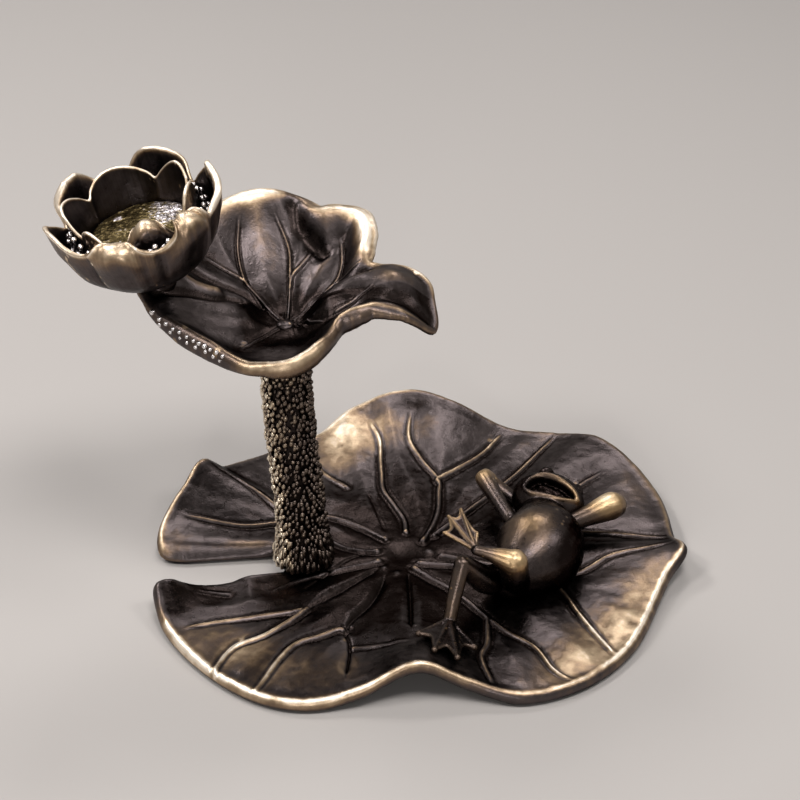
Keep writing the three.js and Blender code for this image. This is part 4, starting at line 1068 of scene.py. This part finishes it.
# The rim is thick and bright on the left of the left back petal and on the near side of the right petal.
# As (direction, thickness, wear).
OUTER_EDGE = np.array([
    (0, 1.5, 0.85), (12, 1.5, 0.9), (24, 1.2, 0.75), (34, 0.9, 0.55), (47, 0.8, 0.5), (60, 0.8, 0.7), (80, 0.9, 0.8),
    (100, 0.8, 0.5), (112, 0.8, 0.4), (124, 0.8, 0.6), (140, 1.1, 0.8), (156, 1.6, 0.9), (166, 1.3, 0.6),
    (180, 0.9, 0.5), (196, 0.8, 0.7), (215, 0.8, 0.75), (240, 0.9, 0.5), (290, 0.9, 0.5), (335, 1.0, 0.5),
    (350, 1.3, 0.8), (360, 1.5, 0.85),
])
INNER_GLOW = np.array([
    (0, 0.5), (30, 0.3), (60, 0.3), (150, 0.3), (200, 0.35), (250, 0.2), (262, 0.4), (275, 0.9), (290, 1.0),
    (303, 0.8), (315, 0.3), (330, 0.3), (350, 0.5), (360, 0.5),
])
OUTER_NOTCHES = (47, 109, 169, 236, 291, 346)
INNER_NOTCHES = (23, 72, 147, 206, 255, 323)
CHAMBER_FLOOR = 5.2
NECK_RADIUS = 3.8


def build_flower_cup():
    petals = Petals(around=720, notches=OUTER_NOTCHES, curl_turn=118)
    direction, away, around = petals.direction, petals.away, petals.around
    rim = soften(round_rim(OUTER_RIM, direction, 1), 5)
    curl = soften(round_rim(OUTER_RIM, direction, 2), 9)
    run = np.interp(rim, PROFILE[:, 1], PROFILE_RUN)
    petals.curl(curl, full_curl=2.4, run=run, extra_run=1.5, arc_run=4.3)
    curled = petals.curled

    def skin(share, inset, creased=1.0):
        """Place on the petals at a share of their run, at a depth under the outer skin."""
        _, base_run, phi, ahead, aside = petals.along(share)
        radius, height = profile_at(base_run)
        r2, h2 = profile_at(np.maximum(base_run - 0.15, 0))
        r3, h3 = profile_at(base_run + 0.15)
        way = np.stack([r3 - r2, h3 - h2], 1)
        way /= np.linalg.norm(way, axis=1, keepdims=True) + 1e-9
        inward = np.stack([-way[:, 1], way[:, 0]], 1)
        bulge = 0.5 * smooth(away, 2, 22) * smooth(height, 3, 10) * (1 - smooth(share, 0.8, 1.0))
        # A crease runs down from each notch between two petals.
        crease = 0.36 * bell(away, 4.0) * smooth(height, 5, 12)
        radius = radius + bulge - crease * creased - 0.35
        deep = inward * np.cos(phi)[:, None] - way * np.sin(phi)[:, None]
        radius = radius + way[:, 0] * ahead + inward[:, 0] * aside - petals.pull * smooth(share, 0.55, 1.0) ** 1.7
        height = height + way[:, 1] * ahead + inward[:, 1] * aside
        return radius + deep[:, 0] * inset, height + deep[:, 1] * inset

    glow = np.interp(direction, *OUTER_GLOW.T)
    wall_rim, rim_shine = read_table(OUTER_EDGE, direction)
    rim_shine = rim_shine + 0.1 * rim_noise(direction, 6, 19)
    for share in np.linspace(0, 1, 60) ** 0.85:
        radius, height = skin(share, 0)
        lines = streaks(direction, height, 4)
        groove = 0.1 * (lines - 0.5) * smooth(share, 0.2, 0.5)
        rub = 0.19 + 0.17 * lines * smooth(share, 0.15, 0.6) + 0.55 * glow * smooth(share, 0.68, 0.92) ** 1.5
        rub = rub + (rim_shine - 0.15) * smooth(share, 0.94, 1.0) * (1 - curled)
        dark = 0.1 * bell(away, 5) * smooth(share, 0.3, 0.7) + 0.12 * (1 - smooth(share, 0.0, 0.5))
        # Painted shade low on the near right side of the cup.
        dark = dark + 0.12 * bell(direction - 318, 30) * (1 - smooth(share, 0.3, 0.75))
        petals.add(radius + groove, height, rub, dark)
    petals.round_edge(skin(1.0, 0), skin(1.0, wall_rim, 0.3), 0.9, rim_shine, 0.2 * curled)
    for share in np.linspace(1, 0.03, 40):
        radius, height = skin(share, wall_rim + (1.3 - wall_rim) * smooth(share, 1, 0.6), 0.3)
        lines = streaks(direction, height, 14)
        rub = 0.16 + 0.2 * lines * smooth(share, 0.4, 0.8) + 0.4 * smooth(share, 0.95, 1.0) * (1 - curled)
        floor = CHAMBER_FLOOR if share < 0.2 else 0
        petals.add(np.maximum(radius - 0.08 * (lines - 0.5), 0.4), np.maximum(height, floor), rub,
                   0.2 * (1 - smooth(share, 0.7, 0.95)))
    inner_last = (len(petals.rings) - 1) * around
    shift = inner_last + around
    faces = grid_faces(len(petals.rings), around) + grid_faces(4, around, shift)
    for z in (0.0, 0.2, 1.2, 2.2):
        petals.add(NECK_RADIUS, z, 0.1, 0.2)
    points = np.vstack([*petals.rings, [[0, 0, 0]], [[0, 0, CHAMBER_FLOOR]]])
    faces += band(shift + 3 * around, 0, around) + fan(len(points) - 2, shift, around, True)
    faces += fan(len(points) - 1, inner_last, around)
    make_piece("flower_cup_skin", in_flower(points), faces, petal_metal,
               ["flower_cup"], np.concatenate([*petals.rubs, [0.1, 0.1]]),
               np.concatenate([*petals.darks, [0.2, 0.2]]))


def build_inner_petals():
    petals = Petals(around=600, notches=INNER_NOTCHES, curl_turn=125)
    direction, away, around = petals.direction, petals.away, petals.around
    rim = soften(round_rim(INNER_RIM, direction, 1), 2.2)
    bore, wall, foot, start = 10.25, 1.0, 9.6, 12.1
    curl = soften(round_rim(INNER_RIM, direction, 2), 3)
    petals.curl(curl, full_curl=3.0, run=rim - start, extra_run=1.6, arc_run=4.4)
    curled = petals.curled

    def skin(share, inset):
        """Place on the petals at a share of their run, at a depth under the outer skin."""
        run, base_run, phi, ahead, aside = petals.along(share)
        flare_height = start + base_run + (run - base_run) * (1 - curled)
        flare = np.clip((flare_height - PLATE_TOP) / (FLOWER_PROFILE[-1][1] - PLATE_TOP), 0, 1)
        radius = bore + wall + 0.95 * flare ** 1.4
        radius = radius + 0.4 * smooth(away, 0, 18) * np.sin(np.pi * np.clip(share, 0, 1))
        radius = radius - 0.3 * bell(away, 4) * share
        radius = radius - aside - petals.pull * smooth(share, 0.35, 1.0) ** 1.5
        return radius - np.cos(phi) * inset, start + base_run + ahead - np.sin(phi) * inset

    glow = np.interp(direction, *INNER_GLOW.T)
    for height in (foot, 10.4, 11.2):
        petals.add(bore + wall, height, 0.08, 0.2)
    shares = np.linspace(0, 1, 38)
    for share in shares:
        radius, height = skin(share, 0)
        lines = streaks(direction, height, 24)
        rub = 0.14 + 0.14 * lines + 0.3 * smooth(share, 0.93, 1.0) * (1 - curled)
        rub = rub + 0.6 * glow * smooth(share, 0.45, 0.85) ** 1.4
        petals.add(radius + 0.1 * (lines - 0.5), height, rub, 0.12 * (1 - smooth(share, 0.3, 0.9)))
    petals.round_edge(skin(1.0, 0), skin(1.0, wall * 0.65), 1.0, 0.66 + 0.16 * rim_noise(direction, 9, 29), 0)
    for share in shares[::-1]:
        radius, height = skin(share, wall * (1 - 0.35 * share))
        lines = streaks(direction, height, 34)
        # The inner face is painted lighter than the outer face, as painted light inside the flower.
        rub = 0.23 + 0.1 * lines * (0.4 + 0.6 * share) + 0.3 * smooth(share, 0.94, 1.0)
        petals.add(radius - 0.06 * (lines - 0.5), height, rub, 0.14 * (1 - smooth(share, 0.0, 0.5)))
    for height in (12.1, foot):
        petals.add(bore - 1.1, height, 0.1, 0.2)
    rings = len(petals.rings)
    faces = grid_faces(rings, around) + band((rings - 1) * around, 0, around)
    make_piece("inner_petals_skin", in_flower(np.vstack(petals.rings)), faces, petal_metal,
               ["inner_petals"], np.concatenate(petals.rubs), np.concatenate(petals.darks))


def build_plate():
    """Rough plate with a smoke hole, whose cast skin is wrinkled."""
    around, rings, bore = 180, 60, 1.8
    turn = turns(around)
    stack = []
    for radius in np.linspace(bore, PLATE_RADIUS, rings):
        p = circle(radius, 0, turn)
        flat = p[:, :2]
        wrinkle = np.abs(cloudy(flat * [1, 1.5], 1.5, 21)) * 0.36
        wrinkle += 0.1 * cloudy(flat, 0.6, 22) + 0.22 * cloudy(flat, 4, 23)
        wrinkle += 0.3 * np.exp(-((flat[:, 0] + 4.9) ** 2 / 1.2 + (flat[:, 1] - 5.3) ** 2 / 0.3))
        p[:, 2] = PLATE_TOP - 0.28 + wrinkle - (0.2 if radius > PLATE_RADIUS - 0.3 else 0)
        stack.append(p)
    stack += [circle(radius, PLATE_TOP - 1.2, turn) for radius in (PLATE_RADIUS, bore)]
    points = np.vstack(stack)
    faces = flipped(grid_faces(rings + 2, around) + band((rings + 1) * around, 0, around))
    rub = 0.3 + 1.1 * np.clip(points[:, 2] - PLATE_TOP + 0.12, -0.2, 0.3)
    x, y = points[:, 0], points[:, 1]
    # A pale painted sheen at the back right of the plate.
    rub += 0.62 * np.exp(-(((x - 4.8) ** 2 / 20 + (y - 4.6) ** 2 / 22) ** 1.5))
    rub += 0.6 * np.exp(-((x + 4.9) ** 2 / 1.0 + (y - 5.3) ** 2 / 0.25))
    make_piece("cone_plate_skin", in_flower(points), faces, plate_metal, ["cone_plate"], rub)


def build_stamens():
    inner, outer, low, top = 12.4, 13.2, 10.6, 14.6
    around = 144
    section = [(inner, low), (outer, low), (outer, top - 0.3), ((inner + outer) / 2, top), (inner, top - 0.3)]
    points = np.vstack([circle(r, z, turns(around)) for r, z in section])
    bodies = [(points, flipped(grid_faces(5, around) + band(4 * around, 0, around)))]
    spin = np.random.default_rng(12)
    for row, (radius, height, size, count) in enumerate(((12.7, 16.2, 0.62, 30), (13.5, 15.5, 0.55, 32))):
        for k in range(count):
            angle = (k + 0.5 * row + spin.uniform(-0.2, 0.2)) / count * 2 * math.pi
            r = radius + spin.uniform(-0.15, 0.15)
            z = height + spin.uniform(-0.35, 0.45)
            head = np.array([r * math.cos(angle), r * math.sin(angle), z])
            foot = np.array([*head[:2], top - 1])
            bodies.append(ball([size, size, size * 1.15], head, around=12, down=8))
            bodies.append(tube([foot, (foot + head) / 2, head], [0.3, 0.26, 0.3], 8))
    points, faces = merge(bodies)
    rub = 0.2 + 0.55 * smooth(points[:, 2], 15, 16.6)
    make_piece("stamens_skin", in_flower(points), faces, bead_metal, ["stamen_ring"], rub)


# ---------------------------------------------------------------- stalk

STALK_RINGS, STALK_ROUND = 120, 60
KNOB_ROWS, KNOBS_IN_ROW, KNOB_SIZE = 52, 26, 0.48


def build_stalk():
    """A core with rows of uneven knobs all round it."""
    shares = np.linspace(0, 1, STALK_RINGS)
    bend_x, bend_y, radius = read_table(np.array(STALK, float), shares)
    centre = np.column_stack([STALK_FOOT[0] + bend_x, STALK_FOOT[1] + bend_y, TRAY_SEAT + shares * STALK_HEIGHT])
    turn = turns(STALK_ROUND)
    core = np.vstack([circle(r - 0.55, 0, turn) + c for c, r in zip(centre, radius)] + [centre[:1], centre[-1:]])
    faces = grid_faces(STALK_RINGS, STALK_ROUND) + fan(len(core) - 2, 0, STALK_ROUND, True)
    faces += fan(len(core) - 1, (STALK_RINGS - 1) * STALK_ROUND, STALK_ROUND)
    bodies = [(core, faces)]
    spin = np.random.default_rng(5)
    for row in range(KNOB_ROWS):
        share = (row + 0.6) / KNOB_ROWS
        r, wider, narrower = (float(np.interp(share + d, shares, radius)) for d in (0, 0.01, -0.01))
        c = np.array([np.interp(share, shares, centre[:, k]) for k in range(3)])
        slope = (wider - narrower) / (0.02 * STALK_HEIGHT)
        flare = float(smooth(share, 0.16, 0.02))
        for k in range(KNOBS_IN_ROW):
            angle = (k + 0.5 * (row % 2) + spin.uniform(-0.35, 0.35)) / KNOBS_IN_ROW * 2 * math.pi
            size = KNOB_SIZE + spin.uniform(-0.13, 0.12)
            out = np.array([math.cos(angle), math.sin(angle), 0])
            lift = out * (r - 0.40 + spin.uniform(-0.22, 0.22)) + np.array([0, 0, spin.uniform(-0.35, 0.35)])
            axis_z = np.array([0, 0, 1.0]) + out * slope
            axis_z /= np.linalg.norm(axis_z)
            long = 1.25 + 1.4 * flare + spin.uniform(-0.2, 0.5)
            axes = np.stack([out, np.cross(axis_z, out), axis_z], 1)
            bodies.append(ball([size * 1.3, size * 0.95, size * long], c + lift, axes, around=8, down=6))
    points, faces = merge(bodies)
    middle = np.column_stack([np.interp(points[:, 2], centre[:, 2], centre[:, k]) for k in range(2)])
    out = np.linalg.norm(points[:, :2] - middle, axis=1) - np.interp(points[:, 2], centre[:, 2], radius)
    # Painted light and shade: the knobs are lighter on the left, where the light falls, and darker on the right.
    left = smooth(-(points[:, 0] - middle[:, 0]) / 5, 0.25, 0.9)
    right = smooth((points[:, 0] - middle[:, 0]) / 5, 0.1, 0.7)
    rub = 0.06 + (0.15 + 0.62 * left - 0.06 * right) * smooth(out, -0.3, 0.25)
    rub[:len(core)] = 0
    low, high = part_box("stalk")
    points[:, 2] = np.clip(points[:, 2], low[2] / MM, high[2] / MM)
    make_piece("stalk_skin", points, faces, stalk_metal, ["stalk"], rub)


# ---------------------------------------------------------------- frog

FROG_SEAT = TRAY_THICKNESS + float(tray_lift(*FROG_PLACE))
HEAD_PLACE = np.array([-1.8, 19, 5.65])
HEAD_RADII = np.array([7.8, 6.2, 5.8])
EYES, EYE_RADIUS = [(-2.3, 4.9, 2.3), (4.3, 4.4, -0.2)], 1.6


def turn_z(angle):
    c, s = math.cos(angle), math.sin(angle)
    return np.array([[c, -s, 0], [s, c, 0], [0, 0, 1]])


def turn_x(angle):
    c, s = math.cos(angle), math.sin(angle)
    return np.array([[1, 0, 0], [0, c, -s], [0, s, c]])


def on_frog(points):
    return np.asarray(points) @ turn_z(FROG_TURN).T + [*FROG_PLACE, FROG_SEAT]


HEAD_TURN = turn_z(math.radians(-12.5)) @ turn_x(math.radians(24))


def in_head(points):
    return np.asarray(points) @ HEAD_TURN.T + HEAD_PLACE


def frog_tube(stations, around=20):
    """Limb along stations of (x, y, z, radius)."""
    run = catmull(stations, 0.5)
    return tube(run[:, :3], run[:, 3], around)


def settle(placed, rest=0.0):
    """Lift the points that would sink under the dressed tray, so that they lie on it."""
    low = np.nonzero(placed[:, 2] < TRAY_THICKNESS + 1.6 + tray_lift(placed[:, 0], placed[:, 1]))[0]
    if len(low):
        floor = tray_skin_top(placed[low]) - 0.15 + rest
        under = floor - placed[low, 2]
        placed[low, 2] = np.where(under > 0, floor - 0.12 * (1 - np.exp(-under)), placed[low, 2])


def frog_piece(name, bodies, voxel, node, paint, rounds=3, rest=0.0):
    """Limb of the frog with one skin, painted by a function of its points."""
    points, faces = fused(*merge(bodies), voxel, rounds)
    placed = on_frog(points)
    settle(placed, rest)
    rub, dark = paint(points)
    make_piece(name, placed, faces, frog_metal, [node], rub, dark)


def spot(points, centre, radius):
    return np.exp(-((points - np.asarray(centre, float)) ** 2).sum(1) / radius ** 2)


def build_frog():
    torso = frog_tube([(-2.6, -7.6, 3.6, 3.2), (-1.2, -3.6, 4.3, 6.3), (0.3, 1.5, 4.5, 8.7), (0.4, 6, 4.65, 8.6),
                       (-0.6, 9.8, 4.6, 7.0), (-1.4, 13.4, 4.6, 5.4)], 40)
    head = [ball(HEAD_RADII, [0, 0, 0], around=40, down=24)] + [ball(EYE_RADIUS, place) for place in EYES]
    upper_lip = catmull([(-4.3, -0.6, 4.5), (-3.9, 0.4, 4.8), (-3.2, 1.7, 4.9), (-2.3, 2.7, 4.8), (-0.9, 3.3, 4.75),
                         (1.2, 3.25, 4.8), (3.2, 2.85, 4.5), (4.7, 2.4, 4.0), (5.8, 1.8, 3.4), (6.7, 0.8, 2.8)], 0.25)
    lower_lip = catmull([(-4.2, -0.9, 4.6), (-3.2, -1.7, 4.95), (-1.7, -2.2, 5.15), (0.1, -2.1, 5.25), (1.9, -1.8, 5.2),
                         (4.1, -1.2, 4.7), (5.7, -0.3, 3.8), (6.7, 0.5, 2.8)], 0.25)
    head += [tube(lip, np.full(len(lip), size), 12) for lip, size in ((upper_lip, 0.62), (lower_lip, 0.5))]
    bodies = [torso] + [(in_head(points), faces) for points, faces in head]
    points, faces = fused(*merge(bodies), voxel=0.26, rounds=2)
    # The mouth is pressed in between the lips, with a crumbly floor.
    local = (points - HEAD_PLACE) @ HEAD_TURN
    across = local[:, 0]
    high = np.interp(across, upper_lip[:, 0], upper_lip[:, 1])
    low = np.interp(across, lower_lip[:, 0], lower_lip[:, 1])
    span = np.clip((local[:, 1] - low) / np.maximum(high - low, 0.3), 0, 1)
    reach = smooth(across, -4.3, -3.0) * smooth(across, 6.7, 5.0) * smooth(local[:, 2], 1.0, 2.4)
    press = reach * smooth(span, 0.1, 0.32) * smooth(span, 0.9, 0.7)
    tongue = np.exp(-((across - 0.2) / 3.0) ** 2 - ((span - 0.45) / 0.22) ** 2)
    local[:, 2] -= press * (2.3 - 1.2 * tongue + 0.5 * cloudy(local, 0.9, 31))
    points = in_head(local)
    placed = on_frog(points)
    settle(placed)
    lip_glow = np.zeros(len(points))
    for lip, strength in ((upper_lip, 0.56), (lower_lip, 0.42)):
        d, which = nearest(local, lip)
        along = which / (len(lip) - 1)
        lip_glow = np.maximum(lip_glow, strength * bell(d, 0.75) * smooth(along, 0, 0.3))
    lip_glow *= 1 - press
    # A painted highlight lightens the torso's left flank, the spot at x -5.
    rub = 0.2 + 0.27 * spot(points, (-0.6, 0.6, 13.3), 4.4) + 0.1 * spot(points, (-5.0, 1.0, 10.5), 4.5) + lip_glow
    rub = rub + 0.35 * spot(local, (-2.6, 6.4, 2.2), 1.2) + 0.25 * press * np.clip(cloudy(local, 0.7, 33), 0, 1)
    # The mouth's hollow is darker. The torso is darkened towards the bottom and on its right as painted shade, and the
    # far part of the head is darker too.
    dark = 0.3 * press + 0.12 * smooth(points[:, 2], 6, 1) + 0.15 * smooth(points[:, 1], 10, 13) * (1 - lip_glow)
    dark = dark + 0.22 * smooth(points[:, 0], 2.5, 7.5) * smooth(points[:, 1], 12, 8)
    make_piece("frog_body_skin", placed, faces, frog_metal, ["frog_body"], rub, dark)

    far = [(-7.6, 10.6, 5.65, 1.6), (-12.1, 16.4, 6.2, 1.65), (-16.2, 21.8, 6.8, 1.95), (-15.2, 22.3, 6.2, 1.7)]
    fore = [(-15.6, 22.0, 6.4, 1.7), (-11.3, 21.1, 4.3, 1.6), (-6, 20, 1.85, 1.6)]
    frog_piece("frog_arm_far_skin", [frog_tube(far), frog_tube(fore)], 0.2, "frog_arm_far",
               lambda p: (0.22 + 0.4 * spot(p, (-16.4, 22.2, 8.5), 3.8), 0.15 * smooth(p[:, 2], 5, 2)))
    near = [(3.4, 11.6, 5.65, 1.7), (7.2, 15.8, 6.0, 2.1), (10.9, 20.0, 6.4, 2.9), (11.6, 21.0, 6.2, 2.7)]
    fore = [(10.8, 20.8, 5.8, 2.4), (7, 20, 4.05, 1.7), (2.4, 19, 1.85, 1.6)]
    frog_piece("frog_arm_near_skin", [frog_tube(near), frog_tube(fore)], 0.2, "frog_arm_near",
               lambda p: (0.2 + 0.7 * spot(p, (10.2, 19.6, 8.8), 4.6), 0.1 * smooth(p[:, 2], 4, 1)))
    build_legs()


def webbed_foot(ankle, tips, radius, web, scallop):
    """Toes from the ankle to the tips, and a thin web between them. Also gives the toes' lines."""
    ankle = np.asarray(ankle, float)
    bodies, lines = [], []
    for tip in tips:
        tip = np.asarray(tip, float)
        middle = (ankle + tip) / 2
        bodies.append(frog_tube([(*ankle, radius * 1.2), (*middle, radius * 0.8),
                                 (*(tip * 0.85 + middle * 0.15), radius * 0.75), (*tip, radius * 0.85)], 12))
        lines.append(catmull([ankle, middle, tip], 0.3))
    n = 14
    grid = np.arange((n + 1) ** 2).reshape(n + 1, n + 1)
    quads = np.stack([grid[:-1, :-1], grid[1:, :-1], grid[1:, 1:], grid[:-1, 1:]], -1).reshape(-1, 4).tolist()
    rim = [*grid[0], *grid[1:, n], *grid[n, n - 1::-1], *grid[n - 1:0:-1, 0]]
    size = grid.size
    faces = quads + [[i + size for i in quad[::-1]] for quad in quads]
    faces += [[int(b), int(a), int(a) + size, int(b) + size] for a, b in zip(rim, rim[1:] + rim[:1])]
    for one, two in zip(tips, tips[1:]):
        one, two = np.asarray(one, float), np.asarray(two, float)
        normal = np.cross(one - ankle, two - ankle)
        normal /= np.linalg.norm(normal)
        u = np.linspace(0, 1, n + 1)[:, None, None]
        edge = (one * (1 - u) + two * u - ankle) * (1 - scallop * np.sin(math.pi * u))
        sheet = (ankle + edge * (np.arange(n + 1) / n)[None, :, None]).reshape(-1, 3)
        rim_line = sheet[grid[:, n]]
        lines.append(rim_line)
        bodies.append(tube(rim_line, np.full(n + 1, web * 1.25), 8))
        bodies.append((np.vstack([sheet + normal * web, sheet - normal * web]), faces))
    return bodies, np.vstack(lines)


def build_legs():
    knee = (-10.2, -15.2, 11.65)
    ankle = (-11, -21.2, 1.95)
    thigh = frog_tube([(-4, -5, 2.85, 3.2), (-6.8, -10.8, 5.65, 2.9), (*knee, 1.8)])
    shin = frog_tube([(*knee, 1.75), (-10.5, -16.9, 9.2, 1.6), (-10.8, -19.2, 5.6, 1.5), (*ankle, 1.35)])
    tips = [(-14.9, -29.0, 3.7), (-10.2, -34.0, 4.6), (-5.6, -34.4, 4.2), (-4.2, -27.6, 1.9)]
    toes, lines = webbed_foot(ankle, tips, radius=0.82, web=0.38, scallop=0.22)

    def paint_standing(p):
        d, _ = nearest(p, lines)
        on_foot = smooth(p[:, 1], -21.6, -22.8)
        shin_part = smooth(p[:, 1], -13.5, -15.5)
        rub = 0.16 + 0.12 * shin_part * (1 - on_foot) + 0.12 * on_foot * bell(d, 0.7)
        # The thigh towards the body is darkened as painted shade.
        return rub, 0.16 * smooth(p[:, 1], -15, -11)

    frog_piece("frog_leg_standing_skin", [thigh, shin, *toes], 0.2, "frog_leg_standing",
               paint_standing, rounds=2, rest=0.25)
    knee = (-0.6, -12.6, 12.25)
    ankle = (-7.7, -14.7, 15.05)
    thigh = frog_tube([(-1.6, -7.2, 3.85, 3.2), (-1.2, -10.2, 7.85, 2.9), (*knee, 2.7)])
    shin = frog_tube([(*knee, 2.6), (-3.6, -13.5, 13.6, 1.8), (-5.6, -14.1, 14.4, 1.2), (*ankle, 1.0)])
    tips = [(-15, -12, 15.85), (-15.2, -8.3, 17.25), (-13.4, -5.9, 17.65), (-8.8, -10.4, 16.05)]
    toes, lines = webbed_foot(ankle, tips, radius=0.46, web=0.2, scallop=0.15)

    def paint_crossed(p):
        d, _ = nearest(p, lines)
        on_foot = smooth(p[:, 0], -7.4, -8.6)
        rub = 0.24 + 0.6 * spot(p, (-0.4, -13.0, 13.6), 3.7) + 0.36 * on_foot * bell(d, 0.5)
        # The web between the toes and the leg's lower parts are darkened as painted shade.
        return rub, 0.4 * on_foot * smooth(d, 0.4, 0.8) + 0.2 * smooth(p[:, 2], 11, 6)

    frog_piece("frog_leg_crossed_skin", [thigh, shin, *toes], 0.16, "frog_leg_crossed",
               paint_crossed, rounds=2)


# ---------------------------------------------------------------- small pieces

def build_hub():
    """Low dome in the middle of the upper leaf, which is the screw's head."""
    around, rings, shank, foot = 48, 16, 1.5, -9.0
    turn = turns(around)
    rise = np.linspace(0, math.pi / 2, rings)
    stack = [circle(0.05 + 1.65 * math.sin(t), 0.75 * math.cos(t) - 0.05, turn) for t in rise]
    points = np.vstack([*stack, circle(shank, foot, turn), [[0, 0, 0.7]], [[0, 0, foot]]])
    faces = flipped(grid_faces(rings + 1, around)) + fan(len(points) - 2, 0, around)
    faces += fan(len(points) - 1, rings * around, around, True)
    make_piece("leaf_screw_skin", points + CUP_HUB, faces, leaf_metal, ["leaf_screw"],
               np.full(len(points), 0.16))


for name in ("flower_screw", "stalk_screw", "frog_screw"):
    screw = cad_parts[name]
    screw.data.materials.clear()
    screw.data.materials.append(screw_metal)

build_tray()
build_upper_leaf()
build_flower_cup()
build_inner_petals()
build_plate()
build_stamens()
build_stalk()
build_frog()
build_hub()


# ---------------------------------------------------------------- camera, floor and light

CAMERA_PLACE = (0, -0.40095, 0.28832)
CAMERA_TILT = math.radians(32)
CAMERA_LENS, CAMERA_SENSOR = 108, 36
FLOOR_REACH, FLOOR_LEVEL = 4, -0.0002
FLOOR_COLOUR = (0.52, 0.49, 0.455, 1)
# The background as it is seen, and the sky's own light.
SEEN_COLOUR, SEEN_LEVEL = (0.44, 0.42, 0.395, 1), 1.0
SKY_COLOUR, SKY_LEVEL = (0.80, 0.84, 0.92, 1), 0.1
LAMP_DISTANCE = 0.62
LAMP_COLOUR = (1.0, 0.975, 0.985)
LAMP_TARGET = Vector((0, 0, 0.03))
# Lamps as (name, bearing from the back, height, size, radiance).
LAMPS = [
    ("window", -56, 44, (0.165, 0.105), 21.0), ("near_window", -112, 48, (0.16, 0.105), 21.0),
    ("over", 160, 68, (0.21, 0.16), 15.0), ("back_sky", 6, 56, (0.22, 0.12), 10.0),
    ("side_sky", 104, 50, (0.12, 0.13), 12.0), ("low_front", -174, 17, (0.09, 0.08), 26.0),
]


def add_floor():
    corners = [(x * FLOOR_REACH, y * FLOOR_REACH, FLOOR_LEVEL) for x, y in ((-1, -1), (1, -1), (1, 1), (-1, 1))]
    mesh = bpy.data.meshes.new("floor")
    mesh.from_pydata(corners, [], [(0, 1, 2, 3)])
    floor = bpy.data.objects.new("floor", mesh)
    bpy.context.scene.collection.objects.link(floor)
    paint = bpy.data.materials.new("floor_paint")
    nodes = Nodes(paint)
    shader = nodes.make("BsdfPrincipled", {"Base Color": FLOOR_COLOUR, "Roughness": 0.8})
    nodes.make("OutputMaterial", {0: shader.outputs[0]})
    floor.data.materials.append(paint)


def add_light(name, azimuth, height, size, level):
    """A soft lamp by its bearing from the back (right is positive), its height in degrees, and its radiance."""
    a, e = math.radians(azimuth), math.radians(height)
    place = LAMP_TARGET + LAMP_DISTANCE * Vector((math.cos(e) * math.sin(a), math.cos(e) * math.cos(a), math.sin(e)))
    light = bpy.data.lights.new(name, "AREA")
    light.shape = "RECTANGLE"
    light.size, light.size_y = size
    light.energy = level * math.pi * size[0] * size[1]
    light.color = LAMP_COLOUR
    lamp = bpy.data.objects.new(name, light)
    lamp.location = place
    lamp.rotation_euler = (LAMP_TARGET - place).to_track_quat("-Z", "Y").to_euler()
    bpy.context.scene.collection.objects.link(lamp)


def add_camera():
    data = bpy.data.cameras.new("camera")
    data.sensor_width = CAMERA_SENSOR
    data.lens = CAMERA_LENS
    data.clip_start = 0.01
    camera = bpy.data.objects.new("camera", data)
    camera.location = CAMERA_PLACE
    look = Vector((0, math.cos(CAMERA_TILT), -math.sin(CAMERA_TILT)))
    camera.rotation_euler = look.to_track_quat("-Z", "Y").to_euler()
    bpy.context.scene.collection.objects.link(camera)
    bpy.context.scene.camera = camera


def add_world():
    world = bpy.data.worlds.new("world")
    bpy.context.scene.world = world
    nodes = Nodes(world)
    rays = nodes.make("LightPath").outputs
    straight = nodes.math("MAXIMUM", rays["Is Camera Ray"], rays["Is Glossy Ray"])
    straight = nodes.math("MAXIMUM", straight, rays["Is Transmission Ray"])
    seen = nodes.make("Background", {0: SEEN_COLOUR, 1: SEEN_LEVEL}).outputs[0]
    lit = nodes.make("Background", {0: SKY_COLOUR, 1: SKY_LEVEL}).outputs[0]
    mix = nodes.make("MixShader", {0: straight, 1: lit, 2: seen})
    nodes.make("OutputWorld", {0: mix.outputs[0]})


add_floor()
add_camera()
add_world()
for lamp in LAMPS:
    add_light(*lamp)

bpy.context.scene.view_settings.view_transform = "Standard"
